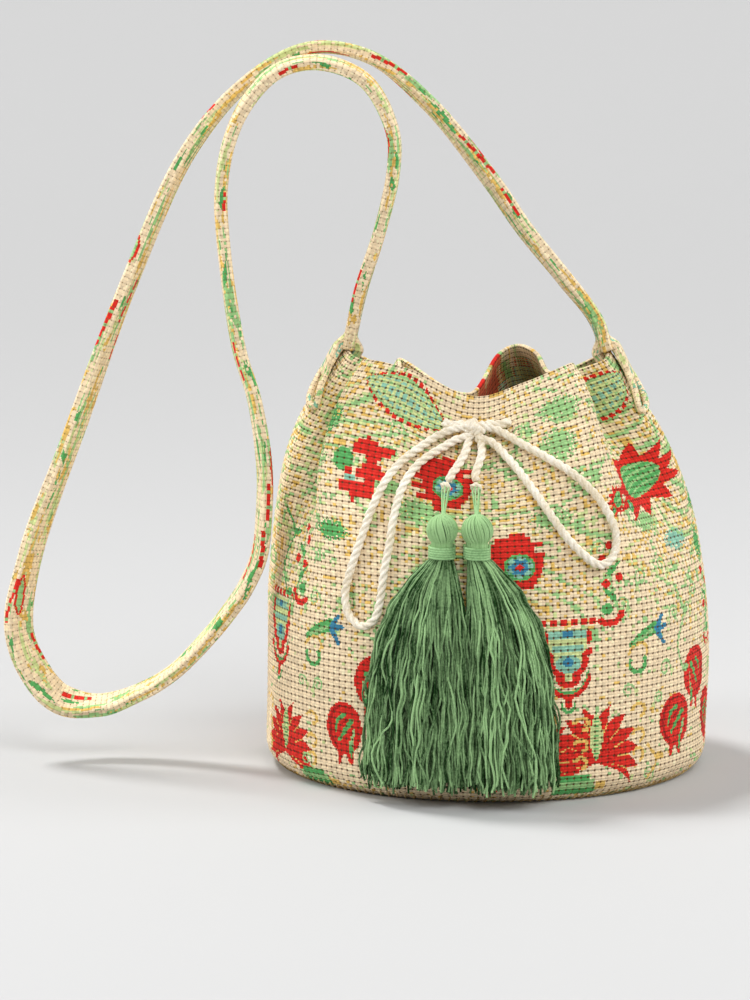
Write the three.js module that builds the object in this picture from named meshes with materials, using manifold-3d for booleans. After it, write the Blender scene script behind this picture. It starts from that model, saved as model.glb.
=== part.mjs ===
// A drawstring bucket bag of thick basket-woven fabric, with one long strap,
// a rope drawstring tied in a bow, and two tassels.
// Millimetres, +Z up, front towards -Y. The origin is the middle of the base, on the floor.
// One mesh for each piece: wall, base, strap, drawstring, bow, tails, end knots, tassels.
import * as THREE from 'three';
import { mergeVertices } from 'three/addons/utils/BufferGeometryUtils.js';
import Module from 'manifold-3d';

const wasm = await Module();
wasm.setup();

// Driving dimensions of the fabric body
const BELLY_RADIUS = 110;
const NECK_RADIUS = 65;
const RIM_HEIGHT = 206;
const BASE_CORNER = 12;
const WALL = 2.5;
const BASE_THICKNESS = 2.5;
const GAP = 0.3;

// Driving dimensions of the strap
const STRAP_WIDTH = 16;
const STRAP_THICKNESS = 6.5;
const STRAP_REACH = 124; // how far the hanging loop stands out beyond the belly
const STRAP_RISE = 148; // how far the strap's top stands above the rim
const FORK_HEIGHT = 16; // where the strap's end splits, above the rim
const OUTER_LEG = 16;
const INNER_LEG = 14;
const LEG_THICKNESS = 5.5;
const LEG_TIP_THICKNESS = 3.4;
const FORK_OPEN_HEIGHT = 3; // above the rim, where the two legs are still fully apart
const LEG_CLEARANCE = 0.5;
const LEG_WIDTH = 13;
const INNER_LEG_WIDTH = 9;
const INNER_LEG_CLEARANCE = 1.2; // more, because the fabric curls round the inner leg
const HAIRPIN_LENGTH = 20;
const HAIRPIN_WIDTH = 9.5;
const HAIRPIN_CORD = 3.4;
const HAIRPIN_ROOT = 4; // how far the hairpin's ends run up inside the outer leg

// Driving dimensions of the drawstring
const CORD = 4.5;
const HOLE_CLEARANCE = 0.8;
const KNOT_WIDTH = 14;
const KNOT_HEIGHT = 10;
const KNOT_DEPTH = 10;
const END_KNOT = 6.4;
const LAY = 0.4; // clear air between a cord and the fabric it lies on
const THREADING = [-9, -5, -1.2, 2.2]; // the drawstring's lifts off the fabric as it comes out of a hole
const ABOVE_BOW = { rise: 4.6, lift: 4.2 }; // where the drawstring meets the knot, over the bow's loops
const OUT_OF_HOLE = { aside: 3.2, rise: 0.4, lift: 3.4 }; // its next point after a hole

// Driving dimensions of the tassels
const HEAD_DIAMETER = 15;
const TASSEL_NECK = 10;
const BINDING_THICKNESS = 1.3;
const BINDING_HEIGHT = 7;
const BINDING_SEAT = 1; // how far the binding laps up beside the head's ball
const SKIRT_LENGTH = 110;
const LOCK_WIDTH = 9.5;
const LOCK_DEPTH = 8;
const HANGER = 1.5;
const HANGER_OVERLAP = 0.28; // share of HANGER that its two strands have in common
const CORE_CUT = 0.065; // how much shorter the skirt's middle is, as a share of SKIRT_LENGTH

// Counts of flat faces
const AROUND = 70;
const ROWS_CORNER = 3;
const ROWS_SIDE = 10;
const STRAP_STEPS = 66;
const LOCK_SIDES = 6;
const CORE_SIDES = 10;
const LEG_STEPS = 7;
const CORNER_STEPS = 6;
const CORD_SIDES = 8;

// The side view of the fabric, above its rounded bottom corner.
// up is a share of RIM_HEIGHT, full is 0 at NECK_RADIUS and 1 at BELLY_RADIUS.
const PROFILE = [
  { up: 0.144, full: 1.0 },
  { up: 0.265, full: 1.0 },
  { up: 0.39, full: 0.99 },
  { up: 0.51, full: 0.935 },
  { up: 0.61, full: 0.865 },
  { up: 0.72, full: 0.733 },
  { up: 0.806, full: 0.567 },
  { up: 0.866, full: 0.415 },
  { up: 0.93, full: 0.235 },
  { up: 1.0, full: 0.0 },
];

// The gathered rim, a row for each fold. turn is in degrees from the front, positive to the right.
// across and back are shares of NECK_RADIUS, rise is a share of RIM_HEIGHT.
const FOLDS = [
  { turn: -178, across: -0.15, back: 0.22, rise: 0.885 }, // back valley
  { turn: -140, across: -0.66, back: 0.72, rise: 0.955 }, // back left ridge
  { turn: -118, across: -0.72, back: 0.34, rise: 0.94 }, // back left valley
  { turn: -104, across: -1.03, back: 0.24, rise: 0.985 },
  { turn: -90, across: -1.08, back: 0.06, rise: 1.005 }, // left side, under the strap
  { turn: -76, across: -1.03, back: -0.12, rise: 0.985 },
  { turn: -62, across: -0.78, back: -0.14, rise: 0.955 }, // left valley
  { turn: -47, across: -0.95, back: -0.46, rise: 0.99 }, // front left ridge
  { turn: -30, across: -0.62, back: -0.7, rise: 0.975 },
  { turn: -6, across: -0.13, back: -0.77, rise: 0.912 }, // front dip
  { turn: 14, across: 0.25, back: -0.76, rise: 0.944 },
  { turn: 34, across: 0.62, back: -0.6, rise: 0.985 }, // front right ridge
  { turn: 58, across: 0.55, back: -0.12, rise: 0.94 }, // right valley
  { turn: 76, across: 0.885, back: -0.12, rise: 0.975 },
  { turn: 90, across: 0.93, back: 0.06, rise: 1.0 }, // right side, under the strap
  { turn: 104, across: 0.88, back: 0.24, rise: 0.98 },
  { turn: 122, across: 0.52, back: 0.26, rise: 0.935 }, // back right valley
  { turn: 148, across: 0.27, back: 0.74, rise: 0.985 }, // back right pleat
];
const GATHER_START = 0.42; // share of the fabric's height where the folds begin to fade in
const BAND_CUT = 0.55; // share of a band's half thickness that is cut off each corner
const SEARCH = { steps: 40, pace: 0.8, widest: 0.9 }; // how a place on the front is found

// Where the strap's ends hold the rim. slant turns the outer leg to the front, in degrees for each mm down.
const RIGHT_END = { turn: 90, slant: -0.4 };
const LEFT_END = { turn: -90, slant: 0.4 };

// The strap's way from its right end to its left end.
// left: 0 at the axis, 1 at the belly's side, 2 at the far end of STRAP_REACH.
// up: 0 on the floor, 1 at the rim, 2 at the top of STRAP_RISE.
// front is a share of BELLY_RADIUS, twist is in degrees from edge-on.
const STRAP_ROUTE = [
  { left: -0.485, up: 1.1, front: -0.02, twist: 8 },
  { left: -0.352, up: 1.23, front: 0.0, twist: 13 },
  { left: -0.165, up: 1.4, front: -0.03, twist: 15 },
  { left: -0.01, up: 1.565, front: -0.06, twist: 17 },
  { left: 0.265, up: 1.815, front: -0.09, twist: 13 },
  { left: 0.53, up: 1.97, front: -0.09, twist: 6 },
  { left: 0.8, up: 2.0, front: -0.09, twist: 2 },
  { left: 1.06, up: 1.895, front: -0.09, twist: 6 },
  { left: 1.3, up: 1.665, front: -0.07, twist: 12 },
  { left: 1.54, up: 1.23, front: -0.03, twist: 13 },
  { left: 1.765, up: 0.805, front: 0.0, twist: 21 },
  { left: 1.95, up: 0.5, front: 0.0, twist: 30 },
  { left: 2.0, up: 0.315, front: 0.0, twist: 44 },
  { left: 1.93, up: 0.205, front: 0.0, twist: 58 },
  { left: 1.835, up: 0.145, front: 0.0, twist: 46 },
  { left: 1.675, up: 0.13, front: 0.0, twist: 20 },
  { left: 1.51, up: 0.165, front: 0.02, twist: 8 },
  { left: 1.38, up: 0.215, front: 0.06, twist: 5 },
  { left: 1.245, up: 0.3, front: 0.12, twist: 8 },
  { left: 1.13, up: 0.39, front: 0.19, twist: 9 },
  { left: 1.07, up: 0.45, front: 0.24, twist: 11 },
  { left: 1.02, up: 0.525, front: 0.27, twist: 13 },
  { left: 1.0, up: 0.635, front: 0.28, twist: 13 },
  { left: 1.0, up: 0.74, front: 0.27, twist: 13 },
  { left: 1.04, up: 0.895, front: 0.23, twist: 9 },
  { left: 1.1, up: 1.015, front: 0.18, twist: 8 },
  { left: 1.16, up: 1.345, front: 0.11, twist: 5 },
  { left: 1.17, up: 1.535, front: 0.09, twist: 2 },
  { left: 1.135, up: 1.7, front: 0.09, twist: 4 },
  { left: 1.06, up: 1.83, front: 0.09, twist: 8 },
  { left: 0.93, up: 1.93, front: 0.09, twist: 10 },
  { left: 0.75, up: 1.955, front: 0.09, twist: 9 },
  { left: 0.55, up: 1.895, front: 0.09, twist: 8 },
  { left: 0.43, up: 1.73, front: 0.09, twist: 5 },
  { left: 0.425, up: 1.6, front: 0.08, twist: 4 },
  { left: 0.485, up: 1.4, front: 0.04, twist: 2 },
  { left: 0.57, up: 1.2, front: 0.0, twist: 6 },
];

// Where each cord lies on the front of the fabric: x, z, and lift off the fabric.
const KNOT = { x: -8, z: 175 };
const BOW_LEFT = [
  [-16.2, 174.6, 4],
  [-25, 171.5, 2.9],
  [-34, 166.3, 2.9],
  [-43, 160, 2.9],
  [-50.5, 151.5, 2.9],
  [-57, 139, 2.9],
  [-62.5, 124, 2.9],
  [-67.5, 109, 2.9],
  [-70, 97.5, 2.9],
  [-68, 88, 2.9],
  [-62, 83.5, 2.9],
  [-56, 87.5, 2.9],
  [-53.5, 96, 2.9],
  [-51.5, 110, 2.9],
  [-49, 122.5, 2.9],
  [-46.5, 137, 2.9],
  [-42.5, 149, 2.9],
  [-36.5, 157.5, 2.9],
  [-29.5, 162.8, 2.9],
  [-23, 166.2, 3],
  [-16.5, 169.6, 4],
];
const BOW_RIGHT = [
  [0.3, 174.6, 4],
  [6.5, 172, 2.9],
  [13, 168.5, 2.9],
  [26.5, 161.5, 2.9],
  [39, 154, 2.9],
  [50, 143.5, 2.9],
  [56.5, 133, 2.9],
  [58.8, 124, 2.9],
  [56.5, 115.8, 2.9],
  [50.5, 113, 2.9],
  [43.5, 117.5, 2.9],
  [35.5, 125.5, 2.9],
  [28, 135.5, 2.9],
  [20.5, 146, 2.9],
  [13, 155.5, 2.9],
  [6.5, 162.5, 3],
  [-0.5, 168.6, 4],
];
const TAIL_LEFT = [
  [-10.6, 169.8, 3.8],
  [-12.8, 163.8, 4.6],
  [-16.2, 158.4, 4.4],
  [-19.2, 154.6, 4.6],
  [-21, 151.5, 5],
];
const TAIL_RIGHT = [
  [-5.4, 169.6, 3.8],
  [-5, 163.2, 4.6],
  [-6.6, 158.4, 4.4],
  [-8, 154.8, 4.6],
  [-8, 151.5, 5],
];

// The drawstring's hidden stretch, inside the neck from the left hole round the back to the right hole.
const HOLE_LEFT = { x: -22, z: 179 };
const HOLE_RIGHT = { x: 8, z: 179 };
const NECK_ROUTE = [
  [-34, -46, 172],
  [-46, -38, 173],
  [-53, -24, 174],
  [-55.5, -8, 174],
  [-52, 6, 174],
  [-42, 13, 174],
  [-26, 10, 174],
  [-8, 5, 174],
  [10, 8, 174],
  [24, 10, 174],
  [34, 4, 174],
  [37.5, -10, 174],
  [37.5, -26, 174],
  [33, -39, 173],
  [22, -47, 172],
];

// Each tassel: where its head hangs and where its skirt ends, as shares of BELLY_RADIUS to the right,
// half the skirt's width there as a share of SKIRT_LENGTH, and how soon the skirt swells below its
// binding, sooner for a smaller power.
const TASSELS = [
  { side: 'left', head: -0.222, foot: -0.327, spread: 0.227, swell: 0.24, tail: TAIL_LEFT },
  { side: 'right', head: -0.073, foot: 0.077, spread: 0.186, swell: 0.37, tail: TAIL_RIGHT },
];
const HEAD_HEIGHT = 131.5;
const SKIRT_ROWS = [0, 0.12, 0.3, 0.55, 0.8, 1];
// across is a share of the skirt's half width, layer is 0 at the fabric and 1 in front,
// and cut is how much shorter the lock is, as a share of SKIRT_LENGTH.
const LOCKS = [
  { across: -0.92, layer: 0, cut: 0.03 },
  { across: -0.46, layer: 0, cut: 0 },
  { across: 0.0, layer: 0, cut: 0.04 },
  { across: 0.46, layer: 0, cut: 0.01 },
  { across: 0.92, layer: 0, cut: 0.03 },
  { across: -0.94, layer: 1, cut: 0.01 },
  { across: -0.57, layer: 1, cut: 0.045 },
  { across: -0.19, layer: 1, cut: 0 },
  { across: 0.19, layer: 1, cut: 0.04 },
  { across: 0.57, layer: 1, cut: 0.01 },
  { across: 0.94, layer: 1, cut: 0.045 },
];

const BACK = new THREE.Vector3(0, 1, 0);

function smooth(t) {
  const s = THREE.MathUtils.clamp(t, 0, 1);
  return s * s * (3 - 2 * s);
}

// A smooth value of one column of FOLDS at any turn, going round without a break.
function foldAt(turn, column) {
  const count = FOLDS.length;
  const wrapped = THREE.MathUtils.euclideanModulo(turn - FOLDS[0].turn, 360) + FOLDS[0].turn;
  let i = count - 1;
  while (FOLDS[i].turn > wrapped) i -= 1;
  const node = (k) => {
    const row = FOLDS[(k + count) % count];
    return { at: row.turn + 360 * Math.floor(k / count), value: row[column] };
  };
  const [a, b, c, d] = [node(i - 1), node(i), node(i + 1), node(i + 2)];
  const span = c.at - b.at;
  const s = (wrapped - b.at) / span;
  const slopeB = ((c.value - a.value) / (c.at - a.at)) * span;
  const slopeC = ((d.value - b.value) / (d.at - b.at)) * span;
  const s2 = s * s;
  const s3 = s2 * s;
  return (
    (2 * s3 - 3 * s2 + 1) * b.value + (s3 - 2 * s2 + s) * slopeB +
    (3 * s2 - 2 * s3) * c.value + (s3 - s2) * slopeC
  );
}

// The profile as one line from the base seam to the rim, by its length.
function makeProfile() {
  const points = [];
  for (let k = 0; k <= CORNER_STEPS; k += 1) {
    const a = (Math.PI / 2) * (k / CORNER_STEPS);
    const radius = BELLY_RADIUS - BASE_CORNER + BASE_CORNER * Math.sin(a);
    points.push(new THREE.Vector2(radius, BASE_CORNER * (1 - Math.cos(a))));
  }
  for (const { up, full } of PROFILE) {
    const radius = NECK_RADIUS + (BELLY_RADIUS - NECK_RADIUS) * full;
    points.push(new THREE.Vector2(radius, up * RIM_HEIGHT));
  }
  return new THREE.SplineCurve(points);
}
const profile = makeProfile();
const FABRIC_HEIGHT = profile.getLength();
const CORNER_SHARE = (BASE_CORNER * Math.PI) / 2 / FABRIC_HEIGHT;

// A point on the outside of the fabric. climb is 0 at the base seam and 1 at the rim.
function outside(turn, climb) {
  const line = profile.getPointAt(THREE.MathUtils.clamp(climb, 0, 1));
  const gather = smooth((climb - GATHER_START) / (1 - GATHER_START));
  const a = THREE.MathUtils.degToRad(turn);
  const across = (1 - gather) * Math.sin(a) + gather * foldAt(turn, 'across');
  const back = -(1 - gather) * Math.cos(a) + gather * foldAt(turn, 'back');
  const rise = (foldAt(turn, 'rise') - 1) * RIM_HEIGHT * gather;
  return new THREE.Vector3(line.x * across, line.x * back, line.y + rise);
}

// The directions of the fabric at a point: round the bag, up the fabric, and out of it.
function frameAt(turn, climb) {
  const step = 0.002;
  const nudge = 0.5;
  const c = THREE.MathUtils.clamp(climb, step, 1 - step);
  const round = outside(turn + nudge, c).sub(outside(turn - nudge, c)).normalize();
  const up = outside(turn, c + step).sub(outside(turn, c - step)).normalize();
  const out = new THREE.Vector3().crossVectors(round, up).normalize();
  return { round, up, out };
}

function offFabric(turn, climb, lift) {
  return outside(turn, climb).addScaledVector(frameAt(turn, climb).out, lift);
}

// The turn and climb that bring a point of the front, lifted off the fabric by lift, to a given x and z.
function frontPlace(x, z, lift = 0) {
  const { steps, pace, widest } = SEARCH;
  let turn = THREE.MathUtils.radToDeg(Math.asin(THREE.MathUtils.clamp(x / BELLY_RADIUS, -widest, widest)));
  let climb = z / RIM_HEIGHT;
  for (let k = 0; k < steps; k += 1) {
    const p = offFabric(turn, climb, lift);
    climb = THREE.MathUtils.clamp(climb + (pace * (z - p.z)) / FABRIC_HEIGHT, 0, 1);
    turn += THREE.MathUtils.radToDeg((pace * (x - p.x)) / BELLY_RADIUS);
  }
  return { turn, climb };
}

function onFront(x, z, lift) {
  const { turn, climb } = frontPlace(x, z, lift);
  return offFabric(turn, climb, lift);
}

// How far to the front the fabric stands at x and z. The rounded bottom corner counts as upright.
function frontDepth(x, z) {
  return onFront(x, Math.max(z, 1.2 * BASE_CORNER), 0).y;
}

// A closed body from rings of points. looped joins the last ring to the first, else both ends are capped.
function loft(rings, looped = false) {
  const count = rings[0].length;
  const positions = rings.flat().flatMap((p) => [p.x, p.y, p.z]);
  const faces = [];
  const last = looped ? rings.length : rings.length - 1;
  for (let r = 0; r < last; r += 1) {
    const next = (r + 1) % rings.length;
    for (let k = 0; k < count; k += 1) {
      const k2 = (k + 1) % count;
      const [a, b] = [r * count + k, r * count + k2];
      const [c, d] = [next * count + k2, next * count + k];
      faces.push([a, b, c], [a, c, d]);
    }
  }
  if (!looped) {
    const top = (rings.length - 1) * count;
    for (let k = 1; k < count - 1; k += 1) {
      faces.push([0, k + 1, k], [top, top + k, top + k + 1]);
    }
  }
  const volume = faces.reduce((sum, [a, b, c]) => {
    const [p, q, r] = [a, b, c].map((i) => new THREE.Vector3().fromArray(positions, 3 * i));
    return sum + p.dot(q.cross(r));
  }, 0);
  const index = volume > 0 ? faces.flat() : faces.flatMap(([a, b, c]) => [a, c, b]);
  const geometry = new THREE.BufferGeometry();
  geometry.setAttribute('position', new THREE.Float32BufferAttribute(positions, 3));
  geometry.setIndex(index);
  return geometry;
}

function toSolid(geometry) {
  const bare = geometry.clone();
  bare.deleteAttribute('normal');
  bare.deleteAttribute('uv');
  const merged = mergeVertices(bare, 1e-4);
  const vertProperties = new Float32Array(merged.attributes.position.array);
  const triVerts = new Uint32Array(merged.index.array);
  return new wasm.Manifold(new wasm.Mesh({ numProp: 3, vertProperties, triVerts }));
}

function toGeometry(solid) {
  const mesh = solid.getMesh();
  const geometry = new THREE.BufferGeometry();
  geometry.setAttribute('position', new THREE.Float32BufferAttribute(mesh.vertProperties, 3));
  geometry.setIndex(Array.from(mesh.triVerts));
  return geometry;
}

function joined(geometries) {
  return toGeometry(geometries.map(toSolid).reduce((sum, solid) => sum.add(solid)));
}

// A round tube along a curve.
function tube(points, diameter, sides, step) {
  const curve = new THREE.CatmullRomCurve3(points, false, 'centripetal');
  const section = new THREE.Shape();
  for (let k = 0; k < sides; k += 1) {
    const a = (2 * Math.PI * k) / sides;
    const [x, y] = [(diameter / 2) * Math.cos(a), (diameter / 2) * Math.sin(a)];
    if (k === 0) section.moveTo(x, y);
    else section.lineTo(x, y);
  }
  section.closePath();
  const steps = Math.max(3, Math.round(curve.getLength() / step));
  return new THREE.ExtrudeGeometry(section, { steps, extrudePath: curve });
}

// A band's section: a rectangle with cut corners, across by thick.
function bandRing(centre, across, thick, width, thickness) {
  const [w, t] = [width / 2, thickness / 2];
  const cut = Math.min(t, w) * BAND_CUT;
  const corners = [
    [w, -t + cut], [w, t - cut], [w - cut, t], [-w + cut, t],
    [-w, t - cut], [-w, -t + cut], [-w + cut, -t], [w - cut, -t],
  ];
  return corners.map(([a, b]) => centre.clone().addScaledVector(across, a).addScaledVector(thick, b));
}

// The fabric wall: up the outside, over the rim, down the inside, with two holes for the drawstring.
function makeWall() {
  const climbs = [];
  for (let k = 0; k < ROWS_CORNER; k += 1) climbs.push((CORNER_SHARE * k) / ROWS_CORNER);
  for (let k = 0; k <= ROWS_SIDE; k += 1) {
    climbs.push(CORNER_SHARE + (1 - CORNER_SHARE) * (k / ROWS_SIDE));
  }
  const turns = Array.from({ length: AROUND }, (_, k) => -180 + (360 * k) / AROUND);
  const outer = climbs.map((climb) => turns.map((turn) => outside(turn, climb)));
  const inner = climbs.map((climb) => turns.map((turn) => offFabric(turn, climb, -WALL)));
  inner[0].forEach((p, k) => p.copy(outer[0][k]).setZ(WALL));
  const rim = turns.map((turn) => {
    return offFabric(turn, 1, -WALL / 2).addScaledVector(frameAt(turn, 1).up, WALL / 2);
  });
  const shell = toSolid(loft([...outer, rim, ...inner.reverse()], true));
  const cutters = [HOLE_LEFT, HOLE_RIGHT].map((hole) => toSolid(holeCutter(hole)));
  return toGeometry(cutters.reduce((wall, cutter) => wall.subtract(cutter), shell));
}

function holeCutter({ x, z }) {
  const { turn, climb } = frontPlace(x, z);
  const radius = CORD / 2 + HOLE_CLEARANCE;
  const cutter = new THREE.CylinderGeometry(radius, radius, 4 * WALL, 12);
  const aim = new THREE.Quaternion().setFromUnitVectors(BACK, frameAt(turn, climb).out);
  const middle = offFabric(turn, climb, -WALL / 2);
  return cutter.applyQuaternion(aim).translate(middle.x, middle.y, middle.z);
}

function makeBase() {
  const radius = BELLY_RADIUS - BASE_CORNER - GAP;
  return new THREE.CylinderGeometry(radius, radius, BASE_THICKNESS, AROUND)
    .rotateX(Math.PI / 2)
    .translate(0, 0, BASE_THICKNESS / 2);
}

// The strap's ends: two legs that hold the rim between them, and a hairpin of cord below the outer one.
// lead is the way the strap leaves the rim, towards the next point of its route.
function seatAt({ turn, slant }, next) {
  const { round, out } = frameAt(turn, 1);
  const point = offFabric(turn, 1, -WALL / 2);
  const lead = strapPoint(next).sub(point).normalize();
  const square = out.addScaledVector(lead, -out.dot(lead)).normalize();
  return { turn, slant, round, point, lead, out: square };
}

// A place on a leg, height above the rim: its middle, and the directions along the rim and out of the bag.
function legPlace(seat, height, lift, slant) {
  if (height >= 0) {
    const middle = seat.point.clone().addScaledVector(seat.lead, height).addScaledVector(seat.out, lift);
    return { middle, round: seat.round, out: seat.out };
  }
  const turn = seat.turn - slant * height;
  const climb = 1 + height / FABRIC_HEIGHT;
  const { round, out } = frameAt(turn, climb);
  return { middle: offFabric(turn, climb, lift - WALL / 2), round, out };
}

function makeLeg(seat, { sign, length, width, tipWidth, clearance, slant }) {
  const rings = [];
  for (let k = 0; k <= LEG_STEPS; k += 1) {
    const height = FORK_HEIGHT - ((FORK_HEIGHT + length) * k) / LEG_STEPS;
    const taper = smooth(-height / length);
    const thickness = THREE.MathUtils.lerp(LEG_THICKNESS, LEG_TIP_THICKNESS, taper);
    const spread = WALL / 2 + clearance + thickness / 2;
    const closed = (STRAP_THICKNESS - LEG_THICKNESS) / 2;
    const closing = smooth((height - FORK_OPEN_HEIGHT) / (FORK_HEIGHT - FORK_OPEN_HEIGHT));
    const lift = THREE.MathUtils.lerp(spread, closed, closing);
    const { middle, round, out } = legPlace(seat, height, sign * lift, slant);
    rings.push(bandRing(middle, round, out, THREE.MathUtils.lerp(width, tipWidth, taper), thickness));
  }
  return loft(rings);
}

function makeHairpin(seat) {
  const half = (HAIRPIN_WIDTH - HAIRPIN_CORD) / 2;
  const start = OUTER_LEG - HAIRPIN_ROOT;
  const end = OUTER_LEG + HAIRPIN_LENGTH - HAIRPIN_CORD / 2 - half;
  const flat = [[start, -half], [(start + end) / 2, -half], [end, -half]];
  for (let k = 1; k <= 3; k += 1) {
    const a = (Math.PI * k) / 4;
    flat.push([end + half * Math.sin(a), -half * Math.cos(a)]);
  }
  flat.push([end, half], [(start + end) / 2, half], [start, half]);
  const lift = WALL / 2 + LEG_CLEARANCE + HAIRPIN_CORD / 2;
  const points = flat.map(([down, aside]) => {
    const { middle, round } = legPlace(seat, -down, lift, seat.slant);
    return middle.addScaledVector(round, aside);
  });
  return tube(points, HAIRPIN_CORD, 6, HAIRPIN_CORD);
}

function strapPoint({ left, up, front }) {
  const reach = left <= 1 ? left * BELLY_RADIUS : BELLY_RADIUS + (left - 1) * STRAP_REACH;
  const height = up <= 1 ? up * RIM_HEIGHT : RIM_HEIGHT + (up - 1) * STRAP_RISE;
  return new THREE.Vector3(-reach, -front * BELLY_RADIUS, height);
}

function makeStrap() {
  const right = seatAt(RIGHT_END, STRAP_ROUTE[0]);
  const left = seatAt(LEFT_END, STRAP_ROUTE[STRAP_ROUTE.length - 1]);
  const [start, end] = [right, left].map((seat) => legPlace(seat, FORK_HEIGHT / 2, 0, 0).middle);
  const points = [start, ...STRAP_ROUTE.map(strapPoint), end];
  const twists = [0, ...STRAP_ROUTE.map((row) => row.twist), 0];
  const curve = new THREE.CatmullRomCurve3(points, false, 'centripetal');
  curve.arcLengthDivisions = 800;
  const rings = [];
  for (let k = 0; k <= STRAP_STEPS; k += 1) {
    const t = curve.getUtoTmapping(k / STRAP_STEPS);
    const along = curve.getTangent(t);
    const row = t * (twists.length - 1);
    const i = Math.min(Math.floor(row), twists.length - 2);
    const twist = THREE.MathUtils.degToRad(THREE.MathUtils.lerp(twists[i], twists[i + 1], smooth(row - i)));
    const edgeOn = BACK.clone().addScaledVector(along, -BACK.dot(along)).normalize();
    const across = edgeOn.applyAxisAngle(along, twist);
    const thick = new THREE.Vector3().crossVectors(along, across);
    rings.push(bandRing(curve.getPoint(t), across, thick, STRAP_WIDTH, STRAP_THICKNESS));
  }
  const outerLeg = { sign: 1, length: OUTER_LEG, width: LEG_WIDTH, tipWidth: HAIRPIN_WIDTH };
  const innerLeg = { sign: -1, length: INNER_LEG, width: INNER_LEG_WIDTH, tipWidth: INNER_LEG_WIDTH };
  const ends = [right, left].flatMap((seat) => [
    makeLeg(seat, { ...outerLeg, clearance: LEG_CLEARANCE, slant: seat.slant }),
    makeLeg(seat, { ...innerLeg, clearance: INNER_LEG_CLEARANCE, slant: 0 }),
    makeHairpin(seat),
  ]);
  return joined([loft(rings), ...ends]);
}

// The drawstring's stretch through the neck, out of both holes and up to the knot.
function makeNeckCord() {
  const through = ({ x, z }) => {
    const { turn, climb } = frontPlace(x, z);
    return THREADING.map((lift) => offFabric(turn, climb, lift));
  };
  const reach = 0.9 * (KNOT_WIDTH / 2 + GAP);
  const meet = (side) => onFront(KNOT.x + side * reach, KNOT.z + ABOVE_BOW.rise, ABOVE_BOW.lift);
  const leave = ({ x, z }, side) =>
    onFront(x - side * OUT_OF_HOLE.aside, z + OUT_OF_HOLE.rise, OUT_OF_HOLE.lift);
  const points = [
    meet(-1),
    leave(HOLE_LEFT, -1),
    ...through(HOLE_LEFT).reverse(),
    ...NECK_ROUTE.map((p) => new THREE.Vector3(...p)),
    ...through(HOLE_RIGHT),
    leave(HOLE_RIGHT, 1),
    meet(1),
  ];
  return tube(points, CORD, CORD_SIDES, 2 * CORD);
}

function makeCord(route) {
  return tube(route.map(([x, z, lift]) => onFront(x, z, lift)), CORD, CORD_SIDES, 2 * CORD);
}

function makeBowKnot() {
  const centre = onFront(KNOT.x, KNOT.z, KNOT_DEPTH / 2 + LAY);
  return new THREE.SphereGeometry(0.5, 14, 9)
    .scale(KNOT_WIDTH, KNOT_DEPTH, KNOT_HEIGHT)
    .translate(centre.x, centre.y, centre.z);
}

// A tail's end knot sits just past the cord's end, in line with it.
function endKnotCentre(route) {
  const [before, last] = route.slice(-2).map(([x, z, lift]) => onFront(x, z, lift));
  const along = last.clone().sub(before).normalize();
  return last.addScaledVector(along, END_KNOT / 2 + GAP);
}

function makeEndKnot(route) {
  const centre = endKnotCentre(route);
  return new THREE.SphereGeometry(END_KNOT / 2, 10, 7).translate(centre.x, centre.y, centre.z);
}

function headCentre({ head }) {
  const x = head * BELLY_RADIUS;
  const ball = frontDepth(x, HEAD_HEIGHT) - HEAD_DIAMETER / 2;
  const belt = TASSEL_NECK / 2 + GAP + BINDING_THICKNESS;
  const waist = frontDepth(x, HEAD_HEIGHT - HEAD_DIAMETER / 2 - BINDING_HEIGHT) - belt;
  return new THREE.Vector3(x, Math.min(ball, waist) - 2 * LAY, HEAD_HEIGHT);
}

// The thread that hangs the tassel's head from the tail's end knot.
function makeHanger(tassel) {
  const knot = endKnotCentre(tassel.tail);
  const head = headCentre(tassel);
  const along = head.clone().sub(knot).normalize();
  const top = knot.clone().addScaledVector(along, END_KNOT / 2 + GAP);
  const bottom = head.clone().addScaledVector(along, -HEAD_DIAMETER / 2 - GAP);
  const aside = new THREE.Vector3((HANGER / 2) * (1 - HANGER_OVERLAP), 0, 0);
  const strands = [-1, 1].map((sign) => {
    const shift = aside.clone().multiplyScalar(sign);
    return tube([top.clone().add(shift), bottom.clone().add(shift)], HANGER, 6, 4);
  });
  return joined(strands);
}

// An oval ring of the skirt, s of the way from its binding to its cut end.
function skirtRing(tassel, s, { across, layer, cut }, halfWidth, halfDepth, sides) {
  const head = headCentre(tassel);
  const top = HEAD_HEIGHT - HEAD_DIAMETER / 2 - BINDING_HEIGHT - GAP;
  const swell = s ** tassel.swell;
  const aside = across * (skirtSpread(tassel, s) - LOCK_WIDTH / 2);
  const x = BELLY_RADIUS * THREE.MathUtils.lerp(tassel.head, tassel.foot, swell) + aside;
  const z = top - SKIRT_LENGTH * (1 - cut) * s;
  const clear = frontDepth(x, z) - 2 * LAY - halfDepth;
  const hung = head.y + (0.5 - layer) * (TASSEL_NECK / 3);
  const laid = clear - 0.9 * LOCK_DEPTH * layer;
  const y = Math.min(clear, THREE.MathUtils.lerp(hung, laid, smooth(3 * s)));
  return Array.from({ length: sides }, (_, k) => {
    const a = (2 * Math.PI * (k + 0.5)) / sides;
    return new THREE.Vector3(x + halfWidth * Math.cos(a), y + halfDepth * Math.sin(a), z);
  });
}

function skirtSpread(tassel, s) {
  return THREE.MathUtils.lerp(TASSEL_NECK / 2, tassel.spread * SKIRT_LENGTH, s ** tassel.swell);
}

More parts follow.
